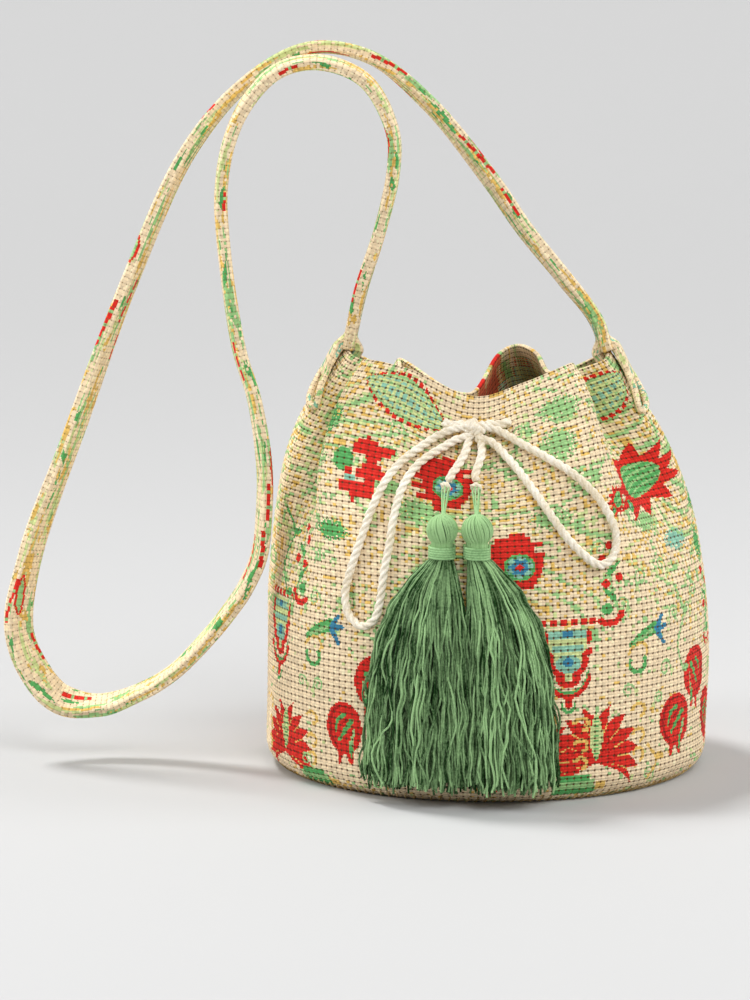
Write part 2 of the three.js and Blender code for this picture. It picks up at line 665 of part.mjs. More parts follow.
// One lock of the skirt, from under the binding to its cut end.
function makeLock(tassel, lock) {
  const rings = SKIRT_ROWS.map((s) => {
    const full = 0.5 + 0.5 * smooth(4 * s);
    return skirtRing(tassel, s, lock, (LOCK_WIDTH * full) / 2, (LOCK_DEPTH * full) / 2, LOCK_SIDES);
  });
  return loft(rings);
}

// The yarn in the middle of the skirt, behind its locks.
function makeCore(tassel) {
  const middle = { across: 0, layer: 0.5, cut: CORE_CUT };
  const rings = SKIRT_ROWS.map((s) => {
    const halfWidth = (skirtSpread(tassel, s) - LOCK_WIDTH * 0.3) * smooth(0.5 + 2 * s);
    const halfDepth = LOCK_DEPTH * 0.6 * smooth(0.6 + 2 * s);
    return skirtRing(tassel, s, middle, halfWidth, halfDepth, CORE_SIDES);
  });
  return loft(rings);
}

// A tassel: the ball of its head, the neck under the binding, and its locks, as one solid.
function makeTassel(tassel) {
  const head = headCentre(tassel);
  const ball = new THREE.SphereGeometry(HEAD_DIAMETER / 2, 12, 8).rotateX(Math.PI / 2);
  const depth = HEAD_DIAMETER / 2 + BINDING_HEIGHT + TASSEL_NECK / 3;
  const neck = new THREE.CylinderGeometry(TASSEL_NECK / 2, TASSEL_NECK / 2, depth, 12)
    .rotateX(Math.PI / 2)
    .translate(0, 0, -depth / 2);
  const body = [ball, neck].map((g) => g.translate(head.x, head.y, head.z));
  return joined([...body, makeCore(tassel), ...LOCKS.map((lock) => makeLock(tassel, lock))]);
}

// The thread wound round the tassel's neck.
function makeBinding(tassel) {
  const head = headCentre(tassel);
  const inner = TASSEL_NECK / 2 + GAP;
  const outer = inner + BINDING_THICKNESS;
  const round = BINDING_THICKNESS / 3;
  const high = -HEAD_DIAMETER / 2 + BINDING_SEAT;
  const low = high - BINDING_HEIGHT;
  const line = [
    [inner, low], [outer - round, low], [outer, low + round],
    [outer, high - round], [outer - round, high], [inner, high],
  ];
  const points = [...line, line[0]].map(([r, z]) => new THREE.Vector2(r, z));
  return new THREE.LatheGeometry(points, 16).rotateX(Math.PI / 2).translate(head.x, head.y, head.z);
}

function material(colour, roughness) {
  return new THREE.MeshStandardMaterial({ color: colour, roughness, metalness: 0 });
}
const fabric = material('#e6d6ae', 0.9);
const strapWeave = material('#d9c993', 0.9);
const rope = material('#f4ecd8', 0.85);
const yarn = material('#5f9a63', 0.8);
const thread = material('#7fb483', 0.8);

const bag = new THREE.Group();
function add(name, geometry, finish) {
  const mesh = new THREE.Mesh(geometry, finish);
  mesh.name = name;
  bag.add(mesh);
}

add('bag_wall', makeWall(), fabric);
add('base_panel', makeBase(), fabric);
add('strap', makeStrap(), strapWeave);
add('neck_cord', makeNeckCord(), rope);
add('bow_knot', makeBowKnot(), rope);
add('bow_loop_left', makeCord(BOW_LEFT), rope);
add('bow_loop_right', makeCord(BOW_RIGHT), rope);
for (const tassel of TASSELS) {
  add(`cord_tail_${tassel.side}`, makeCord(tassel.tail), rope);
  add(`cord_end_knot_${tassel.side}`, makeEndKnot(tassel.tail), rope);
  add(`tassel_loop_${tassel.side}`, makeHanger(tassel), thread);
  add(`tassel_binding_${tassel.side}`, makeBinding(tassel), thread);
  add(`tassel_${tassel.side}`, makeTassel(tassel), yarn);
}

export default bag;
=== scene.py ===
"""The looks of a drawstring bucket bag of thick basket-woven fabric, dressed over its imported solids.

Sizes here are in millimetres and turn to metres where a mesh is made. The frame is that of the solids:
the origin on the floor under the middle of the base, +Z up, the bow and tassels towards -Y.
"""

import logging
import math
from dataclasses import dataclass
from enum import Enum
from functools import cached_property

import bpy
import numpy as np
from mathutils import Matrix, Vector


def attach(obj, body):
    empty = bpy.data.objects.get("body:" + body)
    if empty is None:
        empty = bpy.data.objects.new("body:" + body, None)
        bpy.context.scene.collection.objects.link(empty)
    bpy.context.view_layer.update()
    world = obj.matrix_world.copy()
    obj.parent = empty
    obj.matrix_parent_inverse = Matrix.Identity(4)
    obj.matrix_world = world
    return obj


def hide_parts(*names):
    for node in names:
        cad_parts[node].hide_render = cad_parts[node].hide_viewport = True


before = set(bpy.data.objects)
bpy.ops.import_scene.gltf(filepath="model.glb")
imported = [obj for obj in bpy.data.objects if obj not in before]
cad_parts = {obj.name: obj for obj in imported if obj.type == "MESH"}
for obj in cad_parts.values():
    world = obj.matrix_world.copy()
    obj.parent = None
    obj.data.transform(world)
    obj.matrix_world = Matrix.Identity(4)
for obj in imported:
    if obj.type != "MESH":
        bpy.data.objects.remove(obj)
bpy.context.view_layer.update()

log = logging.getLogger("bag")
MM = 0.001
BODY = "root"
NEXT_TO_NOTHING = 1e-9
SHORTEST = 1e-6
SPAN_SAMPLES = 40

# Short names of the types in the hints below.
Array = np.ndarray
Values = float | np.ndarray
Points = np.ndarray | list | tuple
Tree = bpy.types.NodeTree
Node = bpy.types.Node
Socket = bpy.types.NodeSocket
Material = bpy.types.Material
Mesh = bpy.types.Mesh


class Dye(Enum):
    """The colours of the yarns that the pattern is woven from, as sRGB hex values."""

    CREAM = "#f5ddb7"
    SAND = "#e8cb92"
    RED = "#dc2f25"
    BRICK = "#a81c1a"
    GREEN = "#5cab60"
    LEAF = "#9cc884"
    LIME = "#ced894"
    GOLD = "#e6bd66"
    BLUE = "#3f83a2"
    AQUA = "#8ec3a9"


class Side(Enum):
    """Which of the pair of tassels, tails or bow loops a piece is."""

    LEFT = "left"
    RIGHT = "right"


# The side view of the fabric: up is a share of the rim's height, full is 0 at the neck and 1 at the belly.
PROFILE = (
    (0.144, 1.0), (0.265, 1.0), (0.39, 0.99), (0.51, 0.935), (0.61, 0.865), (0.72, 0.733), (0.806, 0.567),
    (0.866, 0.415), (0.93, 0.235), (1.0, 0.0),
)

# The gathered rim: turn in degrees from the front, then across and back as shares of the neck's radius,
# and rise as a share of the rim's height.
FOLDS = (
    (-178, -0.15, 0.22, 0.885), (-140, -0.66, 0.72, 0.955), (-118, -0.72, 0.34, 0.94),
    (-104, -1.03, 0.24, 0.985), (-90, -1.08, 0.06, 1.005), (-76, -1.03, -0.12, 0.985),
    (-62, -0.78, -0.14, 0.955), (-47, -0.95, -0.46, 0.99), (-30, -0.62, -0.7, 0.975),
    (-6, -0.13, -0.77, 0.912), (14, 0.25, -0.76, 0.944), (34, 0.62, -0.6, 0.985), (58, 0.55, -0.12, 0.94),
    (76, 0.885, -0.12, 0.975), (90, 0.93, 0.06, 1.0), (104, 0.88, 0.24, 0.98), (122, 0.52, 0.26, 0.935),
    (135, 0.41, 0.54, 0.976), (148, 0.26, 0.72, 0.99), (161, 0.09, 0.64, 0.968),
)

# The strap's way: left (0 axis, 1 belly, 2 the loop's far end), up (0 floor, 1 rim, 2 the strap's top),
# front as a share of the belly's radius, and twist in degrees from edge-on.
STRAP_ROUTE = (
    (-0.485, 1.1, -0.02, 8), (-0.352, 1.23, 0.0, 13), (-0.165, 1.4, -0.03, 15), (-0.01, 1.565, -0.06, 17),
    (0.265, 1.815, -0.09, 13), (0.53, 1.97, -0.09, 6), (0.8, 2.0, -0.09, 2), (1.06, 1.895, -0.09, 6),
    (1.3, 1.665, -0.07, 12), (1.54, 1.23, -0.03, 13), (1.765, 0.805, 0.0, 21), (1.95, 0.5, 0.0, 30),
    (2.0, 0.315, 0.0, 44), (1.93, 0.205, 0.0, 58), (1.835, 0.145, 0.0, 46), (1.675, 0.13, 0.0, 20),
    (1.51, 0.165, 0.02, 8), (1.38, 0.215, 0.06, 5), (1.245, 0.3, 0.12, 8), (1.13, 0.39, 0.19, 9),
    (1.07, 0.45, 0.24, 11), (1.02, 0.525, 0.27, 13), (1.0, 0.635, 0.28, 13), (1.0, 0.74, 0.27, 13),
    (1.04, 0.895, 0.23, 9), (1.1, 1.015, 0.18, 8), (1.16, 1.345, 0.11, 5), (1.17, 1.535, 0.09, 2),
    (1.135, 1.7, 0.09, 4), (1.06, 1.83, 0.09, 8), (0.93, 1.93, 0.09, 10), (0.75, 1.955, 0.09, 9),
    (0.55, 1.895, 0.09, 8), (0.43, 1.73, 0.09, 5), (0.425, 1.6, 0.08, 4), (0.485, 1.4, 0.04, 2),
    (0.57, 1.2, 0.0, 6),
)

# Where each free cord lies on the front of the fabric: x, z, and lift off the fabric.
BOW_LEFT = (
    (-16.2, 174.6, 4), (-25, 171.5, 2.9), (-34, 166.3, 2.9), (-43, 160, 2.9), (-50.5, 151.5, 2.9),
    (-57, 139, 2.9), (-62.5, 124, 2.9), (-67.5, 109, 2.9), (-70, 97.5, 2.9), (-68, 88, 2.9),
    (-62, 83.5, 2.9), (-56, 87.5, 2.9), (-53.5, 96, 2.9), (-51.5, 110, 2.9), (-49, 122.5, 2.9),
    (-46.5, 137, 2.9), (-42.5, 149, 2.9), (-36.5, 157.5, 2.9), (-29.5, 162.8, 2.9), (-23, 166.2, 3),
    (-16.5, 169.6, 4),
)
BOW_RIGHT = (
    (0.3, 174.6, 4), (6.5, 172, 2.9), (13, 168.5, 2.9), (26.5, 161.5, 2.9), (39, 154, 2.9),
    (50, 143.5, 2.9), (56.5, 133, 2.9), (58.8, 124, 2.9), (56.5, 115.8, 2.9), (50.5, 113, 2.9),
    (43.5, 117.5, 2.9), (35.5, 125.5, 2.9), (28, 135.5, 2.9), (20.5, 146, 2.9), (13, 155.5, 2.9),
    (6.5, 162.5, 3), (-0.5, 168.6, 4),
)
TAIL_LEFT = (
    (-10.6, 169.8, 3.8), (-12.8, 163.8, 4.6), (-16.2, 158.4, 4.4), (-19.2, 154.6, 4.6), (-21, 151.5, 5),
)
TAIL_RIGHT = ((-5.4, 169.6, 3.8), (-5, 163.2, 4.6), (-6.6, 158.4, 4.4), (-8, 154.8, 4.6), (-8, 151.5, 5))

# The drawstring's hidden stretch, inside the neck from the left hole round the back to the right hole.
NECK_ROUTE = (
    (-34, -46, 172), (-46, -38, 173), (-53, -24, 174), (-55.5, -8, 174), (-52, 6, 174), (-42, 13, 174),
    (-26, 10, 174), (-8, 5, 174), (10, 8, 174), (24, 10, 174), (34, 4, 174), (37.5, -10, 174),
    (37.5, -26, 174), (33, -39, 173), (22, -47, 172),
)

# The drawstring's way out through a hole of the wall, as lifts off the fabric.
THREADING = (-9, -5, -1.2, 2.2)

# The bow's knot: two crossing turns of the rope, from the knot's middle.
KNOT_TURNS = (
    ((-4.9, 0.4, 1.7), (-2.5, -0.7, 1.2), (0, -1.2, 0.2), (2.5, -0.9, -0.8), (4.9, 0.3, -1.9)),
    ((-4.8, 0.6, -1.9), (-2.4, 0.2, -1.3), (0, 0.6, -0.2), (2.4, 0.3, 0.9), (4.8, 0.5, 1.7)),
)

# How thickly the wall's ground is dotted with colour: height up the fabric, and share.
GROUND_DOTS = (
    (0, 0.4), (14, 0.15), (30, 0.07), (75, 0.1), (100, 0.36), (130, 0.62), (190, 0.62), (223, 0.5),
)

# The bands of the ground: from and to as shares of one band's repeat, how dense, and the dye.
GROUND_BANDS = (
    (0.0, 0.17, 1.05, Dye.LEAF),
    (0.17, 0.28, 0.8, Dye.LIME),
    (0.42, 0.5, 1.1, Dye.GOLD),
    (0.58, 0.64, 0.9, Dye.LIME),
    (0.64, 0.7, 0.9, Dye.GOLD),
    (0.78, 0.84, 1.0, Dye.GOLD),
    (0.9, 1.0, 0.5, Dye.LIME),
)

# The strap's ground: how far each patch of colour spreads along and across, its share, and the dye.
LONG_STREAKS = (
    ((21, 3), 0.16, Dye.LIME),
    ((25, 3), 0.13, Dye.GOLD),
    ((23, 3), 0.15, Dye.LEAF),
    ((9, 3), 0.05, Dye.GREEN),
    ((7, 3), 0.05, Dye.GOLD),
)
PALE_PATCHES = (((7, 5), 0.14, Dye.LIME), ((7, 5), 0.12, Dye.AQUA), ((5, 3), 0.08, Dye.LEAF))


def smooth(t: Values) -> Values:
    """Ease from 0 to 1.

    Args:
        t: a number or array; below 0 counts as 0, above 1 as 1.

    Returns:
        The eased value, in the same shape.
    """
    s = np.clip(t, 0.0, 1.0)
    return s * s * (3 - 2 * s)


def unit(v: Array) -> Array:
    """Return vectors of length 1 along the last axis."""
    return v / np.maximum(np.linalg.norm(v, axis=-1, keepdims=True), NEXT_TO_NOTHING)


def blurred(rng: np.random.Generator, shape: tuple[int, int], reach: tuple[int, int]) -> Array:
    """Make patchy noise that joins up from its last column to its first.

    Args:
        rng: the seeded source of the noise.
        shape: rows and columns.
        reach: how many rows and columns each value is spread over.

    Returns:
        The rank of each value, spread evenly from 0 to 1.
    """
    noise = rng.random(shape)
    for axis, width in enumerate(reach):
        for _ in range(2):
            noise = sum(np.roll(noise, k - width // 2, axis=axis) for k in range(width)) / width
    ranks = np.argsort(np.argsort(noise, axis=None)).reshape(shape)
    return ranks / ranks.size


def linear(hex_colour: str) -> tuple[float, float, float, float]:
    """Turn an sRGB hex colour to the linear colour that a socket takes."""
    parts = [int(hex_colour[i : i + 2], 16) / 255 for i in (1, 3, 5)]
    values = [c / 12.92 if c <= 0.04045 else ((c + 0.055) / 1.055) ** 2.4 for c in parts]
    return (values[0], values[1], values[2], 1.0)


def add_node(tree: Tree, kind: str, inputs: dict | None = None, **settings) -> Node:
    """Add a node with its settings and links.

    Args:
        tree: the tree that takes it.
        kind: the node's type.
        inputs: a value or another node's output socket for each input, by name or number.
        settings: the node's own properties.

    Returns:
        The node.
    """
    node = tree.nodes.new(kind)
    for name, value in settings.items():
        setattr(node, name, value)
    for key, value in (inputs or {}).items():
        if isinstance(value, Socket):
            tree.links.new(value, node.inputs[key])
        else:
            node.inputs[key].default_value = value
    return node


def cubic(p1: Array, p2: Array, m1: Array, m2: Array, s: Array) -> Array:
    """Return samples of the cubic that leaves p1 along m1 and reaches p2 along m2."""
    return p1 + m1 * s + (3 * (p2 - p1) - 2 * m1 - m2) * s**2 + (2 * (p1 - p2) + m1 + m2) * s**3


def distance_along(line: Array) -> Array:
    """Return how far along a line each of its samples lies."""
    return np.concatenate([[0], np.cumsum(np.linalg.norm(np.diff(line, axis=0), axis=1))])


def crossing_curve(points: Points, per_span: int = SPAN_SAMPLES) -> tuple[Array, Array]:
    """Draw a smooth curve through points, with knots spread by the root of their distance.

    Args:
        points: the points, one in each row.
        per_span: samples between two points.

    Returns:
        The samples, and for each the row it lies at, counted from 0.
    """
    points = np.asarray(points, float)
    ends = np.vstack([2 * points[0] - points[1], points, 2 * points[-1] - points[-2]])
    samples, rows = [], []
    for i in range(len(points) - 1):
        p0, p1, p2, p3 = ends[i : i + 4]
        steps = ((p0, p1), (p1, p2), (p2, p3))
        d0, d1, d2 = (max(np.linalg.norm(b - a), SHORTEST) ** 0.5 for a, b in steps)
        m1 = ((p1 - p0) / d0 - (p2 - p0) / (d0 + d1) + (p2 - p1) / d1) * d1
        m2 = ((p2 - p1) / d1 - (p3 - p1) / (d1 + d2) + (p3 - p2) / d2) * d1
        s = np.linspace(0, 1, per_span, endpoint=i == len(points) - 2)[:, None]
        samples.append(cubic(p1, p2, m1, m2, s))
        rows.append(i + s[:, 0])
    return np.vstack(samples), np.concatenate(rows)


def even_curve(points: Points, step: float) -> tuple[Array, Array]:
    """Sample the smooth curve through points at even steps along it.

    Args:
        points: the points, one in each row.
        step: the wanted distance between samples.

    Returns:
        The samples, and for each the row it lies at.
    """
    line, rows = crossing_curve(points)
    length = distance_along(line)
    count = max(3, round(length[-1] / step)) + 1
    at = np.linspace(0, length[-1], count)
    return np.stack([np.interp(at, length, line[:, k]) for k in range(3)], -1), np.interp(at, length, rows)


@dataclass
class FabricForm:
    """The outside of the gathered fabric, as a surface that turn and climb run over.

    turn is in degrees from the front, to the right, and climb is 0 at the base seam and 1 at the rim.
    """

    belly: float = 110.0
    neck: float = 65.0
    rim_height: float = 206.0
    corner: float = 12.0
    wall: float = 2.5
    gather_start: float = 0.42
    corner_samples: int = 7
    search_steps: int = 40
    search_pace: float = 0.8
    search_widest: float = 0.9

    @cached_property
    def line(self) -> tuple[Array, Array]:
        """The side view's samples, and how far along it each one lies."""
        a = np.linspace(0, math.pi / 2, self.corner_samples)
        corner = np.stack([self.belly - self.corner * (1 - np.sin(a)), self.corner * (1 - np.cos(a))], -1)
        rows = [(self.neck + (self.belly - self.neck) * full, up * self.rim_height) for up, full in PROFILE]
        points = np.vstack([corner, rows])
        ends = np.vstack([points[0], points, points[-1]])
        samples = []
        for i in range(len(points) - 1):
            p0, p1, p2, p3 = ends[i : i + 4]
            m1, m2 = (p2 - p0) / 2, (p3 - p1) / 2
            s = np.linspace(0, 1, SPAN_SAMPLES, endpoint=i == len(points) - 2)[:, None]
            samples.append(cubic(p1, p2, m1, m2, s))
        line = np.vstack(samples)
        return line, distance_along(line)

    def height(self) -> float:
        """Return the fabric's length from the base seam up to the rim."""
        return float(self.line[1][-1])

    def fold(self, turn: Values, column: int) -> Array:
        """Return one column of FOLDS at any turn, smoothly and without a break."""
        turns = np.array([row[0] for row in FOLDS], float)
        values = np.array([row[column] for row in FOLDS], float)
        t = np.concatenate([turns - 360, turns, turns + 360])
        v = np.tile(values, 3)
        slope = np.zeros_like(v)
        slope[1:-1] = (v[2:] - v[:-2]) / (t[2:] - t[:-2])
        wrapped = (np.asarray(turn, float) + 180) % 360 - 180
        i = np.clip(np.searchsorted(t, wrapped, side="right") - 1, 1, len(t) - 3)
        span = t[i + 1] - t[i]
        s = (wrapped - t[i]) / span
        return (
            (2 * s**3 - 3 * s**2 + 1) * v[i]
            + (s**3 - 2 * s**2 + s) * span * slope[i]
            + (3 * s**2 - 2 * s**3) * v[i + 1]
            + (s**3 - s**2) * span * slope[i + 1]
        )

    def outside(self, turn: Values, climb: Values) -> Array:
        """Return points on the outside of the fabric."""
        turn, climb = np.broadcast_arrays(np.asarray(turn, float), np.asarray(climb, float))
        line, length = self.line
        at = np.clip(climb, 0, 1) * length[-1]
        radius, z = np.interp(at, length, line[:, 0]), np.interp(at, length, line[:, 1])
        gather = smooth((climb - self.gather_start) / (1 - self.gather_start))
        a = np.radians(turn)
        across = (1 - gather) * np.sin(a) + gather * self.fold(turn, 1)
        back = -(1 - gather) * np.cos(a) + gather * self.fold(turn, 2)
        rise = (self.fold(turn, 3) - 1) * self.rim_height * gather
        return np.stack([radius * across, radius * back, z + rise], -1)

    def frame_at(self, turn: Values, climb: Values) -> tuple[Array, Array, Array]:
        """Return the directions round the bag, up the fabric and out of it."""
        step, nudge = 0.002, 0.5
        turn = np.asarray(turn, float)
        c = np.clip(climb, step, 1 - step)
        around = unit(self.outside(turn + nudge, c) - self.outside(turn - nudge, c))
        up = unit(self.outside(turn, c + step) - self.outside(turn, c - step))
        return around, up, unit(np.cross(around, up))

    def lifted(self, turn: Values, climb: Values, lift: Values) -> Array:
        """Return points off the fabric by lift."""
        return self.outside(turn, climb) + self.frame_at(turn, climb)[2] * np.asarray(lift, float)[..., None]

    def front_place(self, x: Values, z: Values, lift: Values) -> tuple[Array, Array]:
        """Search for points of the front, step by step.

        Args:
            x: how far to the right they are.
            z: how far up.
            lift: how far off the fabric.

        Returns:
            The turn and climb that bring lifted points to those places.
        """
        x, z = np.asarray(x, float), np.asarray(z, float)
        turn = np.degrees(np.arcsin(np.clip(x / self.belly, -self.search_widest, self.search_widest)))
        climb = z / self.rim_height
        height = self.height()
        for _ in range(self.search_steps):
            p = self.lifted(turn, climb, lift)
            climb = np.clip(climb + self.search_pace * (z - p[..., 2]) / height, 0, 1)
            turn = turn + np.degrees(self.search_pace * (x - p[..., 0]) / self.belly)
        return turn, climb

    def on_front(self, points: Points) -> Array:
        """Return the places of x, z, lift rows on the front of the fabric."""
        x, z, lift = np.asarray(points, float).T
        turn, climb = self.front_place(x, z, lift)
        return self.lifted(turn, climb, lift)

    def front_depth(self, x: Values, z: Values) -> Array:
        """Return how far to the front the fabric stands at x and z; the floor's corner counts as upright."""
        x, z = np.broadcast_arrays(np.asarray(x, float), np.asarray(z, float))
        flat = np.stack([x.ravel(), np.maximum(z.ravel(), 1.2 * self.corner), np.zeros(x.size)], -1)
        return self.on_front(flat)[:, 1].reshape(x.shape)


FORM = FabricForm()


class MeshMaker:
    """Turns grids and lines of points in millimetres into pieces that ride on the bag."""

    @staticmethod
    def piece(name: str, mesh: Mesh, slot: str, *nodes: str) -> bpy.types.Object:
        """Make an object of a mesh, ride it on the body and let it stand for CAD nodes.

        Args:
            name: the piece's name.
            mesh: its mesh, in metres in the row frame.
            slot: the record's material slot; not used.
            nodes: the CAD nodes that it replaces.

        Returns:
            The object.
        """
        obj = bpy.data.objects.new(name, mesh)
        bpy.context.scene.collection.objects.link(obj)
        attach(obj, BODY)
        if nodes:
            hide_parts(*nodes)
        log.info("%s: %d faces", name, len(mesh.polygons))
        return obj

    @staticmethod
    def quarters(dyes: Array) -> dict[str, Array]:
        """Part a chart's colours into the lower and upper, left and right quarters of each face."""
        quarters = ((0, 0), (0, 1), (1, 0), (1, 1))
        return {f"dye_{high}{right}": dyes[high::2, right::2].reshape(-1, 4) for high, right in quarters}

    @staticmethod
    def grid(
        name: str,
        rings: Array,
        material: Material,
        dyes: Array | None = None,
        cells: tuple[Array, Array] | None = None,
        looped: bool = False,
    ) -> Mesh:
        """Make a closed mesh from rings of points.

        Args:
            name: the mesh's name.
            rings: points in millimetres, rings by points round each ring by 3.
            material: its finish.
            dyes: linear colours, two by two for each face between two rings, if a pattern is woven in.
            cells: the weave's coordinates up the rings and round them, one more round than points.
            looped: whether the last ring joins the first; otherwise both ends are capped.

        Returns:
            The mesh, with its faces pointing out.
        """
        count, around = rings.shape[:2]
        points = rings.reshape(-1, 3) * MM
        rows = np.arange(count if looped else count - 1)[:, None]
        cols = np.arange(around)[None, :]
        corners = [(rows, cols), (rows, cols + 1), (rows + 1, cols + 1), (rows + 1, cols)]
        quads = np.stack([(r % count) * around + (c % around) for r, c in corners], -1).reshape(-1, 4)
        p = points[quads]
        volume = np.einsum("ij,ij->i", p[:, 0], np.cross(p[:, 1], p[:, 2]) + np.cross(p[:, 2], p[:, 3])).sum()
        faces = quads.tolist()
        if not looped:
            faces += [list(range(around))[::-1], list(range((count - 1) * around, count * around))]
        mesh = bpy.data.meshes.new(name)
        mesh.from_pydata(points.tolist(), [], faces)
        v = cells[0] if cells is not None else np.arange(count + 1)
        u = cells[1] if cells is not None else np.arange(around + 1)
        uv = np.stack([np.stack([u[c + 0 * r], v[r + 0 * c]], -1) for r, c in corners], -2).reshape(-1, 2)
        layer = mesh.uv_layers.new(name="weave")
        extra = np.zeros((len(mesh.loops) - len(uv), 2))
        layer.data.foreach_set("uv", np.vstack([uv, extra]).astype(np.float32).ravel())
        if dyes is not None:
            for name, part in MeshMaker.quarters(dyes).items():
                filler = np.tile(part[:1], (len(mesh.polygons) - len(part), 1))
                dye = mesh.attributes.new(name, "FLOAT_COLOR", "FACE")
                dye.data.foreach_set("color", np.vstack([part, filler]).astype(np.float32).ravel())
        if volume < 0:
            mesh.flip_normals()
        mesh.polygons.foreach_set("use_smooth", [True] * len(mesh.polygons))
        mesh.materials.append(material)
        mesh.update()
        return mesh


@dataclass(frozen=True)
class WovenCotton:
    """Dyed cotton yarn in an open basket weave: soft and matt, with a small hole between its blocks, painted
    dark as shade.

    cell_width and cell_height are the real size of one face of the weave in millimetres, and a hole comes at
    every second one. The colour carries painted shade, darker in the dips between the stitches, and a painted
    highlight, lighter on their tops. Real fibres are finer than fibres_per_mm gives, and wouldn't show.
    """

    name: str
    cell_width: float
    cell_height: float
    hole_radius: float = 0.5
    hole_softness: float = 0.5
    hole_depth: float = 0.9
    painted_hole_shade: str = "#6b4426"
    dip_shade: float = 0.64
    painted_top_highlight: float = 1.08
    roughness: float = 0.88
    relief: float = 0.5
    fibres_per_mm: float = 2.6
    fibre_depth: float = 0.3
    patterned: bool = True
    plain_colour: str = Dye.SAND.value

    def build(self) -> Material:
        """Return the material. It reads the weave map and, where patterned, the dye of each stitch."""
        material = bpy.data.materials.new(self.name)
        material.use_nodes = True
        tree = material.node_tree
        tree.nodes.clear()
        where = add_node(tree, "ShaderNodeTexCoord").outputs["Object"]
        if self.patterned:
            place = add_node(tree, "ShaderNodeUVMap", uv_map="weave")
            u, v = self.split(tree, place.outputs["UV"], 1.0, 1.0)
        else:
            u, v = self.split(tree, where, 1 / (self.cell_width * MM), 1 / (self.cell_height * MM))
        hole = self.in_hole(tree, u, v)
        yarn = self.yarn_height(tree, u, v)
        grain = {"Vector": where, "Scale": self.fibres_per_mm / MM, "Detail": 3.0}
        fibres = add_node(tree, "ShaderNodeTexNoise", grain).outputs["Fac"]
        sunk = {0: hole, 1: -self.hole_depth, 2: yarn}
        height = add_node(tree, "ShaderNodeMath", sunk, operation="MULTIPLY_ADD").outputs[0]
        ridged = {0: fibres, 1: self.fibre_depth, 2: height}
        height = add_node(tree, "ShaderNodeMath", ridged, operation="MULTIPLY_ADD").outputs[0]
        raised = {"Height": height, "Distance": self.relief * MM, "Strength": 1.0}
        bump = add_node(tree, "ShaderNodeBump", raised)
        shader = add_node(
            tree,
            "ShaderNodeBsdfPrincipled",
            {
                "Base Color": self.dyed(tree, (u, v), yarn, fibres, hole),
                "Roughness": self.roughness,
                "Sheen Weight": 0.04,
                "Specular IOR Level": 0.15,
                "Normal": bump.outputs["Normal"],
            },
        )
        add_node(tree, "ShaderNodeOutputMaterial", {"Surface": shader.outputs["BSDF"]})
        return material

    def split(self, tree: Tree, place: Socket, scale_u: float, scale_v: float) -> tuple[Socket, Socket]:
        """Return the two coordinates of the weave, counted in faces."""
        scale = {0: place, 1: (scale_u, scale_v, 1.0)}
        scaled = add_node(tree, "ShaderNodeVectorMath", scale, operation="MULTIPLY")
        parts = add_node(tree, "ShaderNodeSeparateXYZ", {0: scaled.outputs[0]})
        return parts.outputs["X"], parts.outputs["Y"]

    def in_hole(self, tree: Tree, u: Socket, v: Socket) -> Socket:
        """Return 1 in a hole, where both coordinates are near an even number, and 0 on the yarn."""
        squares = []
        for value, size in ((u, self.cell_width), (v, self.cell_height)):
            halved = add_node(tree, "ShaderNodeMath", {0: value, 1: 0.5, 2: 0.5}, operation="MULTIPLY_ADD")
            part = add_node(tree, "ShaderNodeMath", {0: halved.outputs[0]}, operation="FRACT")
            centred = add_node(tree, "ShaderNodeMath", {0: part.outputs[0], 1: 0.5}, operation="SUBTRACT")
            away = add_node(tree, "ShaderNodeMath", {0: centred.outputs[0]}, operation="ABSOLUTE")
            real = add_node(tree, "ShaderNodeMath", {0: away.outputs[0], 1: 2 * size}, operation="MULTIPLY")
            square = add_node(tree, "ShaderNodeMath", {0: real.outputs[0], 1: 2.0}, operation="POWER")
            squares.append(square.outputs[0])
        both = add_node(tree, "ShaderNodeMath", {0: squares[0], 1: squares[1]}, operation="ADD")
        radius = add_node(tree, "ShaderNodeMath", {0: both.outputs[0]}, operation="SQRT")
        edge = {
            "Value": radius.outputs[0],
            "From Min": self.hole_radius * (1 + self.hole_softness),
            "From Max": self.hole_radius * (1 - self.hole_softness),
        }
        return add_node(tree, "ShaderNodeMapRange", edge, interpolation_type="SMOOTHSTEP").outputs[0]

    def rounded(self, tree: Tree, value: Socket, repeat: float, power: float) -> Socket:
        """Return a wave that is 0 at each multiple of repeat and 1 halfway between."""
        turned = add_node(tree, "ShaderNodeMath", {0: value, 1: math.pi / repeat}, operation="MULTIPLY")
        wave = add_node(tree, "ShaderNodeMath", {0: turned.outputs[0]}, operation="SINE")
        size = add_node(tree, "ShaderNodeMath", {0: wave.outputs[0]}, operation="ABSOLUTE")
        return add_node(tree, "ShaderNodeMath", {0: size.outputs[0], 1: power}, operation="POWER").outputs[0]

    def yarn_height(self, tree: Tree, u: Socket, v: Socket) -> Socket:
        """Return the rounded height of each block and stitch, 0 in the dips between them and 1 on top."""
        parts = []
        for repeat, power, share in ((2.0, 0.6, 0.55), (1.0, 0.8, 0.45)):
            wave = {0: self.rounded(tree, u, repeat, power), 1: 0.45, 2: 0.55}
            across = add_node(tree, "ShaderNodeMath", wave, operation="MULTIPLY_ADD").outputs[0]
            along = self.rounded(tree, v, repeat, power)
            height = add_node(tree, "ShaderNodeMath", {0: across, 1: along}, operation="MULTIPLY").outputs[0]
            part = add_node(tree, "ShaderNodeMath", {0: height, 1: share}, operation="MULTIPLY")
            parts.append(part.outputs[0])
        return add_node(tree, "ShaderNodeMath", {0: parts[0], 1: parts[1]}, operation="ADD").outputs[0]

